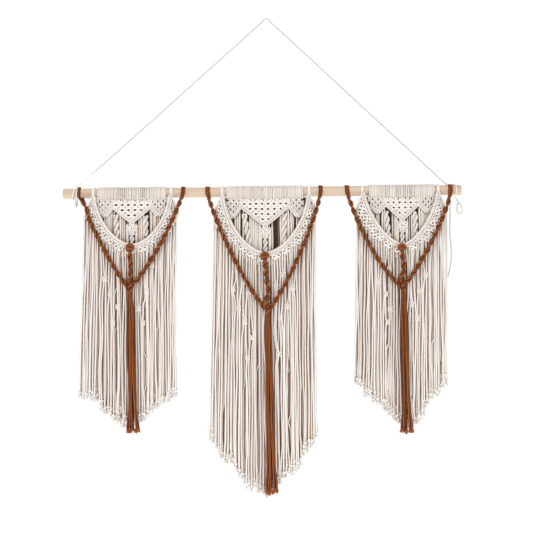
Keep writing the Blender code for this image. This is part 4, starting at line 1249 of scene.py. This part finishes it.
def build_middle_fringe(panel):
    """The drape's other strands: one row between those in front, and one behind them."""
    rng = chance(panel, 9)
    layers = []
    width = sizes().strand * MIDDLE_SHARE
    for back, first, shorter in ((0.0, 1.0, 0.016), (0.0034, 0.5, 0.024)):
        routes = drape_routes(panel, rng, MIDDLE_STRAND_Y + back, first, shorter)
        routes[..., 0] = parted(panel, routes[..., 0], routes[..., 2], push=0.0034)
        layers.append(Layer(routes, width, top=1.0, dim=0.38, shadow=((0.42, 0.110),)))
    hang_fringe("middle_fringe_" + panel.name, panel, layers, rng, ["drape_" + panel.name])


def rope_cords(centre, lay, cord, spread, apart=0.5):
    """Two plies wound round each other, each of three cords wound round each other: the
    centre plus a slow turn of 0.98 of a cord and a quick one of 0.54. Where spread is 1 the
    six lie side by side instead, as a flat band, apart by their share, every other one up."""
    _, across, deep = frames(centre)
    distance = travelled(centre)
    cords = []
    for number in range(6):
        ply, part = divmod(number, 3)
        slow = 2 * pi * distance / lay + ply * pi
        quick = 2 * pi * distance / (lay * 0.38) + part * 2 * pi / 3 + ply
        wound_x = 0.98 * cord * np.cos(slow) + 0.54 * cord * np.cos(quick)
        wound_y = 0.98 * cord * np.sin(slow) + 0.54 * cord * np.sin(quick)
        flat_x = (number - 2.5) * cord * apart
        flat_y = (0.62 - apart) * 0.8 * cord * (-1) ** number
        cords.append(centre + across * mix(wound_x, flat_x, spread)[:, None]
                     + deep * mix(wound_y, flat_y, spread)[:, None])
    return np.stack(cords)


def rope_arm(panel, side):
    """Half of the rust V: from behind the rod over it, down the arm and into the tassel. Under
    the rod it swings in as a bell, and out a little on the rod itself."""
    reach = panel.rope_left if side < 0 else panel.rope_right
    fullness, drop, apart, swing = ROPE_ARMS[panel.name][side > 0]
    cord = sizes().rope_cord
    radius = ROD_RADIUS + 0.0002 + cord * (ROPE_FLAT / 2 + 0.56 - apart)
    loop = over_rod(side * (reach + swing * 0.4), radius, -126, 84, 18)
    turn = side * np.linspace(HANG_TURN, radians(11), 30)
    arm = hung(turn, panel.rope_left, panel.rope_right, drop, fullness, panel.rope_shift)
    depth = -arm[:, 2]
    inward = np.exp(-((depth - 0.038) / 0.016) ** 2)
    outwards = 0.7 * np.exp(-((depth - 0.008) / 0.010) ** 2)
    arm[:, 0] -= side * swing * (inward - outwards)
    arm[:, 1] = coming_forward(arm[:, 2], ROPE_LOOP_Y, ROPE_Y, 0.034)
    x = panel.rope_shift
    point = np.array([(x + side * 0.0022, ROPE_Y - side * 0.0016, -drop - 0.001),
                      (x + side * 0.0008, ROPE_Y - side * 0.0012, -panel.rope_drop - 0.008)])
    centre = evenly(through(np.concatenate([loop, arm, point]), 400), 0.0024)
    off_rod = smooth((-centre[:, 2] - LOOP_STRAIGHT) / 0.020) * (centre[:, 1] < 0)
    cords = rope_cords(centre, sizes().rope_lay, cord, 1 - off_rod, apart)
    return [tubes(cords, cord, cord * mix(ROPE_FLAT, 1.0, off_rod), sides=8, tone=ROPE_TONES),
            tubes(centre, cord * mix(0.4, 1.0, off_rod), sides=6, tone=0.0)]


def build_rope(panel):
    """The rust rope in the shape of a V, with its flat turns over the rod, and the small knot
    on the left panel's left arm."""
    parts = rope_arm(panel, -1) + rope_arm(panel, 1)
    if panel.name == "left":
        # The small knot's tone under 0 gives it painted shade
        parts += square_knots(TIGHT_KNOT, [ROPE_KNOT], 0.0021, 1.5, tone=-0.3, turn=0.2)
    make_piece("rust_rope_" + panel.name, parts, rust(),
               ["rope_" + panel.name], panel_middle(panel))


def build_stem(panel):
    """The rust knot round the drape's lowest point, and the rope from it to the V's point."""
    cord = sizes().rope_cord * 1.12
    x, depth = np.array(STEMS[panel.name]).T
    centre = np.stack([x, np.full(len(x), ROPE_Y), -depth], -1)
    centre = evenly(through(centre, 200), 0.0024)
    cords = rope_cords(centre, sizes().rope_lay * 0.94, cord, np.zeros(len(centre)))
    parts = [tubes(cords, cord, sides=8, tone=ROPE_TONES), tubes(centre, cord, tone=0.0)]
    middle = (x[0] + 0.0005, ROPE_Y - 0.0006, -panel.drape_drop - 0.003)
    for route in KNOT_TURNS:
        line = through(np.array(route) / 1000, 30) + middle
        parts.append(tubes(line, cord * 1.12, sides=8, tone=0.7))
    make_piece("rust_stem_" + panel.name, parts, rust(),
               ["stem_" + panel.name], panel_middle(panel))


def build_tassel(panel):
    """Loose rust cords from the point of the V, spreading a little to frayed ends: columns
    and rows whose pitch grows down the tassel, with a parting, and a bound neck at the top."""
    rng = chance(panel, 10)
    columns = 5
    rows = 3
    count = columns * rows
    column = np.tile(np.arange(columns) - (columns - 1) / 2, rows)[:, None]
    row = np.repeat(np.arange(rows) - (rows - 1) / 2, columns)[:, None]
    rings = 32
    s = np.linspace(0, 1, rings)[None]
    end = panel.tassel_end - rng.uniform(0.006, 0.016, count)[:, None]
    top = panel.rope_drop + 0.002
    z = -mix(top, end, s)
    pitch = mix(0.0018, 0.0034, smooth(s * 4.5)) + 0.0022 * smooth(s * 7 - 6)
    lean = 0.004 if panel.name == "left" else 0.006
    parting = np.sign(column - 0.3) * 0.0015 * smooth(s * 3 - 0.8)
    sway = swaying(rng, count, rings, 0.0012)
    x = panel.rope_shift + lean * s + (column + 0.25 * row) * pitch + parting + sway
    y = ROPE_Y + 0.0002 + row * mix(0.0026, 0.0034, s) - 0.0012 * ((column + row) % 2)
    routes = np.stack([x, y, z], -1)
    width = sizes().rope_cord * 1.1
    tone = np.where(column[:, 0] % 2 == 0, 0.30, 1.0) + rng.uniform(-0.3, 0.3, count)
    parts = [tubes(routes, width * mix(0.86, 1.0, smooth(s * 4)), sides=6, tone=tone),
             frayed_ends(routes[:, -1] + (0, 0, 0.001), rng, width * 1.3, 0.014, 6)]
    neck = np.array([(panel.rope_shift, ROPE_Y, -top - 0.001),
                     (panel.rope_shift + 0.0002, ROPE_Y, -top - 0.009)])
    neck = wound(evenly(neck, 0.0003), 0.0046, 0.0032, flat=0.86)
    parts.append(tubes(neck, 0.0028, sides=6, tone=0.6))
    make_piece("rust_tassel_" + panel.name, parts, rust(),
               ["tassel_" + panel.name], panel_middle(panel))


def rounded(route, spacing=0.003):
    """A route's rounded curve at even distances: through four points at a time, straight lines
    between neighbours, then between those lines and once more, each by the share of the way
    between two times. The times are apart by the root of the distance between the points."""
    route = np.asarray(route, float)
    ends = np.concatenate([[2 * route[0] - route[1]], route, [2 * route[-1] - route[-2]]])
    levels = (((0, 1), (1, 2), (2, 3)), ((0, 2), (1, 3)), ((1, 2),))
    pieces = []
    for k in range(len(route) - 1):
        row = list(ends[k:k + 4])
        steps = np.linalg.norm(np.diff(row, axis=0), axis=1) ** 0.5
        times = np.concatenate([[0.0], np.cumsum(steps)])
        at = np.linspace(times[1], times[2], 24, endpoint=False)[:, None]
        for level in levels:
            row = [mix(row[j], row[j + 1], (at - times[low]) / (times[high] - times[low]))
                   for j, (low, high) in enumerate(level)]
        pieces.append(row[0])
    return evenly(np.concatenate(pieces + [route[-1:]]), spacing)


def from_rod(places):
    """Places measured from the rod's axis, as places from the origin."""
    return np.array(places) + (0, 0, ROD_HEIGHT)


def build_cords():
    """The hanging cord, tied to the rod at both ends, and the loose end behind the right. Their
    tone is dull, as painted shade, in the long stretches and under the rod, and pale round the
    rod."""
    ends = (from_rod(CORD_LEFT_END), CORD_APEX, from_rod(CORD_RIGHT_END))
    hanging = rounded(np.concatenate(ends))
    tail = rounded(from_rod(TAIL_ROUTE))
    for name, node, route, far_end, lay in (
            ("cord_hanging", "hanging_cord", hanging, "bare", "taut"),
            ("cord_loose_end", "cord_tail", tail, "bare", "hanging")):
        # Painted shade: the cord is dull under the rod and away from the rod's ends
        under_rod = smooth((ROD_HEIGHT - ROD_RADIUS - route[:, 2]) / 0.008)
        at_end = smooth((np.abs(route[:, 0]) - 0.42) / 0.04)
        tone = (at_end * (1 - 0.7 * under_rod))[None]
        part = tubes(route, CORD_DIAMETER, sides=10, tone=tone)
        piece = make_piece(name, [part], cord_yarn(), [node])
        length = float(travelled(route)[-1])
        tuple(route[0])
        [tuple(p) for p in route]
    rng = np.random.default_rng(sizes().seed)
    tufts = frayed_ends(from_rod(CORD_FRAYED), rng, CORD_DIAMETER * 1.25, 0.0205, 10)
    make_piece("cord_frayed_end", [tufts], cord_yarn(), ())


# The stage: the round floor, each light's place, aim, size and power, and the camera
FLOOR_RADIUS = 2.2
FLOOR_HEIGHT = -1.32
LIGHTS = {
    "key": ((-1.5, -2.2, 1.1), (0.0, 0.0, -0.7), 1.3, 36),
    "fill": ((1.9, -2.4, 0.2), (0.0, 0.0, -0.8), 1.8, 19),
    "top": ((0.2, -0.2, 1.6), (0.0, 0.0, -0.6), 1.2, 9),
}
VIEW_ROLL = radians(0.55)
VIEW_DISTANCE = 3.2
VIEW_WIDTH = 1.35
VIEW_MIDDLE = (0.0039, -0.02, -0.6326)


def build_floor():
    """The pale floor: a flat round plate, its rim a circle of 96 points."""
    mesh = bpy.data.meshes.new("floor")
    angle = np.linspace(0, 2 * pi, 96, endpoint=False)
    rim = np.stack([FLOOR_RADIUS * np.cos(angle), FLOOR_RADIUS * np.sin(angle),
                    np.full(len(angle), FLOOR_HEIGHT)], -1)
    mesh.from_pydata(rim.tolist(), [], [list(range(len(rim)))])
    floor = bpy.data.objects.new("floor", mesh)
    bpy.context.scene.collection.objects.link(floor)
    paint = bpy.data.materials.new("pale_floor")
    paint.use_nodes = True
    shader = paint.node_tree.nodes["Principled BSDF"]
    shader.inputs["Base Color"].default_value = (*colours().floor, 1.0)
    shader.inputs["Roughness"].default_value = 0.9
    shader.inputs["Emission Color"].default_value = (1.0, 1.0, 1.0, 1.0)
    shader.inputs["Emission Strength"].default_value = 0.9
    mesh.materials.append(paint)


def build_surroundings():
    """White surroundings, brighter to the camera than as a light."""
    world = bpy.data.worlds.new("studio")
    bpy.context.scene.world = world
    world.use_nodes = True
    tree = world.node_tree
    background = tree.nodes["Background"]
    background.inputs["Color"].default_value = (1.0, 1.0, 1.0, 1.0)
    seen = add_node(tree, "ShaderNodeLightPath", (-3, 0))
    strength = math_node(tree, "MULTIPLY_ADD", (-1, 0), seen.outputs["Is Camera Ray"], 0.52, 0.50)
    tree.links.new(strength, background.inputs["Strength"])


def build_light(name, place, aim, size, power):
    """A soft square light at a place that faces its aim, its right side level."""
    light = bpy.data.lights.new(name, "AREA")
    light.size = size
    light.energy = power
    lamp = bpy.data.objects.new(name, light)
    bpy.context.scene.collection.objects.link(lamp)
    back = unit(np.array(place) - np.array(aim))
    right = unit(np.cross((0.0, 0.0, 1.0), back))
    turn = np.stack([right, np.cross(back, right), back, place], 1)
    lamp.matrix_world = Matrix([*turn.tolist(), (0, 0, 0, 1)])


def build_camera():
    """The camera of the photograph: level with the hanging's middle, rolled a little, with a
    lens that takes in the view's width at its distance."""
    scene = bpy.context.scene
    view = bpy.data.cameras.new("photo_view")
    view.sensor_width = 36.0
    view.lens = view.sensor_width * VIEW_DISTANCE / VIEW_WIDTH
    view.clip_end = 20.0
    camera = bpy.data.objects.new("photo_view", view)
    scene.collection.objects.link(camera)
    x, y, z = VIEW_MIDDLE
    c = cos(VIEW_ROLL)
    s = sin(VIEW_ROLL)
    camera.matrix_world = Matrix(((c, s, 0, x), (0, 0, -1, y - VIEW_DISTANCE), (-s, c, 0, z),
                                  (0, 0, 0, 1)))
    scene.camera = camera
    scene.view_settings.view_transform = "Standard"


def build_stage():
    """Floor, white surroundings, soft lights and the camera of the photograph."""
    build_floor()
    build_surroundings()
    for name, light in LIGHTS.items():
        build_light(name, *light)
    build_camera()


class MACRAME_OT_stage(bpy.types.Operator):
    """Set up the floor, the soft lights, the white surroundings and the camera."""

    bl_idname = "macrame.stage"
    bl_label = "Stage"
    bl_options = {"REGISTER", "UNDO"}

    def execute(self, context):
        build_stage()
        return {"FINISHED"}


class MACRAME_OT_cords(bpy.types.Operator):
    """Carry the hanging cord from the rod to its apex and back, and the loose end."""

    bl_idname = "macrame.cords"
    bl_label = "Cords"
    bl_options = {"REGISTER", "UNDO"}

    def execute(self, context):
        build_cords()
        return {"FINISHED"}


class MACRAME_OT_rod(bpy.types.Operator):
    """Give the rod its planed wood."""

    bl_idname = "macrame.rod"
    bl_label = "Rod"
    bl_options = {"REGISTER", "UNDO"}

    def execute(self, context):
        build_rod()
        return {"FINISHED"}


class MACRAME_OT_heading(bpy.types.Operator):
    """Fold the cords over the rod at the top of each panel."""

    bl_idname = "macrame.heading"
    bl_label = "Heading"
    bl_options = {"REGISTER", "UNDO"}

    def execute(self, context):
        for panel in PANELS:
            build_heading(panel)
        return {"FINISHED"}


class MACRAME_OT_net(bpy.types.Operator):
    """Knot the net under the rod on each panel."""

    bl_idname = "macrame.net"
    bl_label = "Net"
    bl_options = {"REGISTER", "UNDO"}

    def execute(self, context):
        for panel in PANELS:
            build_net(panel)
        return {"FINISHED"}


class MACRAME_OT_zigzag(bpy.types.Operator):
    """Hitch the zigzag bars that end the net."""

    bl_idname = "macrame.zigzag"
    bl_label = "Zigzag Bars"
    bl_options = {"REGISTER", "UNDO"}

    def execute(self, context):
        for panel in PANELS:
            build_zigzag(panel)
        return {"FINISHED"}


class MACRAME_OT_sinnets(bpy.types.Operator):
    """Knot the sinnets and the diamond under the zigzag bars."""

    bl_idname = "macrame.sinnets"
    bl_label = "Sinnets"
    bl_options = {"REGISTER", "UNDO"}

    def execute(self, context):
        for panel in PANELS:
            build_sinnets(panel)
        return {"FINISHED"}


class MACRAME_OT_back_fringe(bpy.types.Operator):
    """Hang the strands that come from behind the net."""

    bl_idname = "macrame.back_fringe"
    bl_label = "Back Fringe"
    bl_options = {"REGISTER", "UNDO"}

    def execute(self, context):
        for panel in PANELS:
            build_back_fringe(panel)
        return {"FINISHED"}


class MACRAME_OT_drape(bpy.types.Operator):
    """Hang the drape's hitched bar from its loops over the rod."""

    bl_idname = "macrame.drape"
    bl_label = "Drape Bar"
    bl_options = {"REGISTER", "UNDO"}

    def execute(self, context):
        for panel in PANELS:
            build_drape(panel)
        return {"FINISHED"}


class MACRAME_OT_drape_knots(bpy.types.Operator):
    """Knot the rows along the outer edge of the drape."""

    bl_idname = "macrame.drape_knots"
    bl_label = "Drape Knots"
    bl_options = {"REGISTER", "UNDO"}

    def execute(self, context):
        for panel in PANELS:
            build_drape_knots(panel)
        return {"FINISHED"}


class MACRAME_OT_middle_fringe(bpy.types.Operator):
    """Hang the drape's strands that lie behind those in front."""

    bl_idname = "macrame.middle_fringe"
    bl_label = "Middle Fringe"
    bl_options = {"REGISTER", "UNDO"}

    def execute(self, context):
        for panel in PANELS:
            build_middle_fringe(panel)
        return {"FINISHED"}


class MACRAME_OT_front_fringe(bpy.types.Operator):
    """Hang the front of the fringe with its small knots."""

    bl_idname = "macrame.front_fringe"
    bl_label = "Front Fringe"
    bl_options = {"REGISTER", "UNDO"}

    def execute(self, context):
        for panel in PANELS:
            build_front_fringe(panel)
        return {"FINISHED"}


class MACRAME_OT_rope(bpy.types.Operator):
    """Lay the rust rope over the rod and down in a V."""

    bl_idname = "macrame.rope"
    bl_label = "Rust Rope"
    bl_options = {"REGISTER", "UNDO"}

    def execute(self, context):
        for panel in PANELS:
            build_rope(panel)
        return {"FINISHED"}


class MACRAME_OT_stem(bpy.types.Operator):
    """Tie the rust knot and the rope that hangs from it."""

    bl_idname = "macrame.stem"
    bl_label = "Rust Stem"
    bl_options = {"REGISTER", "UNDO"}

    def execute(self, context):
        for panel in PANELS:
            build_stem(panel)
        return {"FINISHED"}


class MACRAME_OT_tassel(bpy.types.Operator):
    """Hang the loose rust cords under the point of the V."""

    bl_idname = "macrame.tassel"
    bl_label = "Rust Tassel"
    bl_options = {"REGISTER", "UNDO"}

    def execute(self, context):
        for panel in PANELS:
            build_tassel(panel)
        return {"FINISHED"}


class MACRAME_PT_pieces(bpy.types.Panel):
    """The pieces of the wall hanging, in the order in which they are built."""

    bl_idname = "MACRAME_PT_pieces"
    bl_label = "Macrame Wall Hanging"
    bl_space_type = "VIEW_3D"
    bl_region_type = "UI"
    bl_category = "Macrame"

    def draw(self, context):
        layout = self.layout
        for group in (context.scene.macrame_colours, context.scene.macrame_sizes):
            for prop in group.bl_rna.properties:
                if prop.identifier not in ("rna_type", "name"):
                    layout.prop(group, prop.identifier)
        for operator in OPERATORS:
            layout.operator(operator.bl_idname)


OPERATORS = (
    MACRAME_OT_stage,
    MACRAME_OT_cords,
    MACRAME_OT_rod,
    MACRAME_OT_heading,
    MACRAME_OT_net,
    MACRAME_OT_zigzag,
    MACRAME_OT_sinnets,
    MACRAME_OT_back_fringe,
    MACRAME_OT_drape,
    MACRAME_OT_drape_knots,
    MACRAME_OT_middle_fringe,
    MACRAME_OT_front_fringe,
    MACRAME_OT_rope,
    MACRAME_OT_stem,
    MACRAME_OT_tassel,
)
CLASSES = (MacrameColours, MacrameSizes, *OPERATORS, MACRAME_PT_pieces)


def register():
    """Register the classes and put the colours and sizes on the scene."""
    for item in CLASSES:
        bpy.utils.register_class(item)
    bpy.types.Scene.macrame_colours = PointerProperty(type=MacrameColours)
    bpy.types.Scene.macrame_sizes = PointerProperty(type=MacrameSizes)


def unregister():
    """Take the colours and sizes off the scene and unregister the classes."""
    del bpy.types.Scene.macrame_sizes
    del bpy.types.Scene.macrame_colours
    for item in reversed(CLASSES):
        bpy.utils.unregister_class(item)


def main():
    """Build all the pieces in order."""
    register()
    bpy.ops.macrame.stage()
    bpy.ops.macrame.cords()
    bpy.ops.macrame.rod()
    bpy.ops.macrame.heading()
    bpy.ops.macrame.net()
    bpy.ops.macrame.zigzag()
    bpy.ops.macrame.sinnets()
    bpy.ops.macrame.back_fringe()
    bpy.ops.macrame.drape()
    bpy.ops.macrame.drape_knots()
    bpy.ops.macrame.middle_fringe()
    bpy.ops.macrame.front_fringe()
    bpy.ops.macrame.rope()
    bpy.ops.macrame.stem()
    bpy.ops.macrame.tassel()


if __name__ == "__main__":
    main()
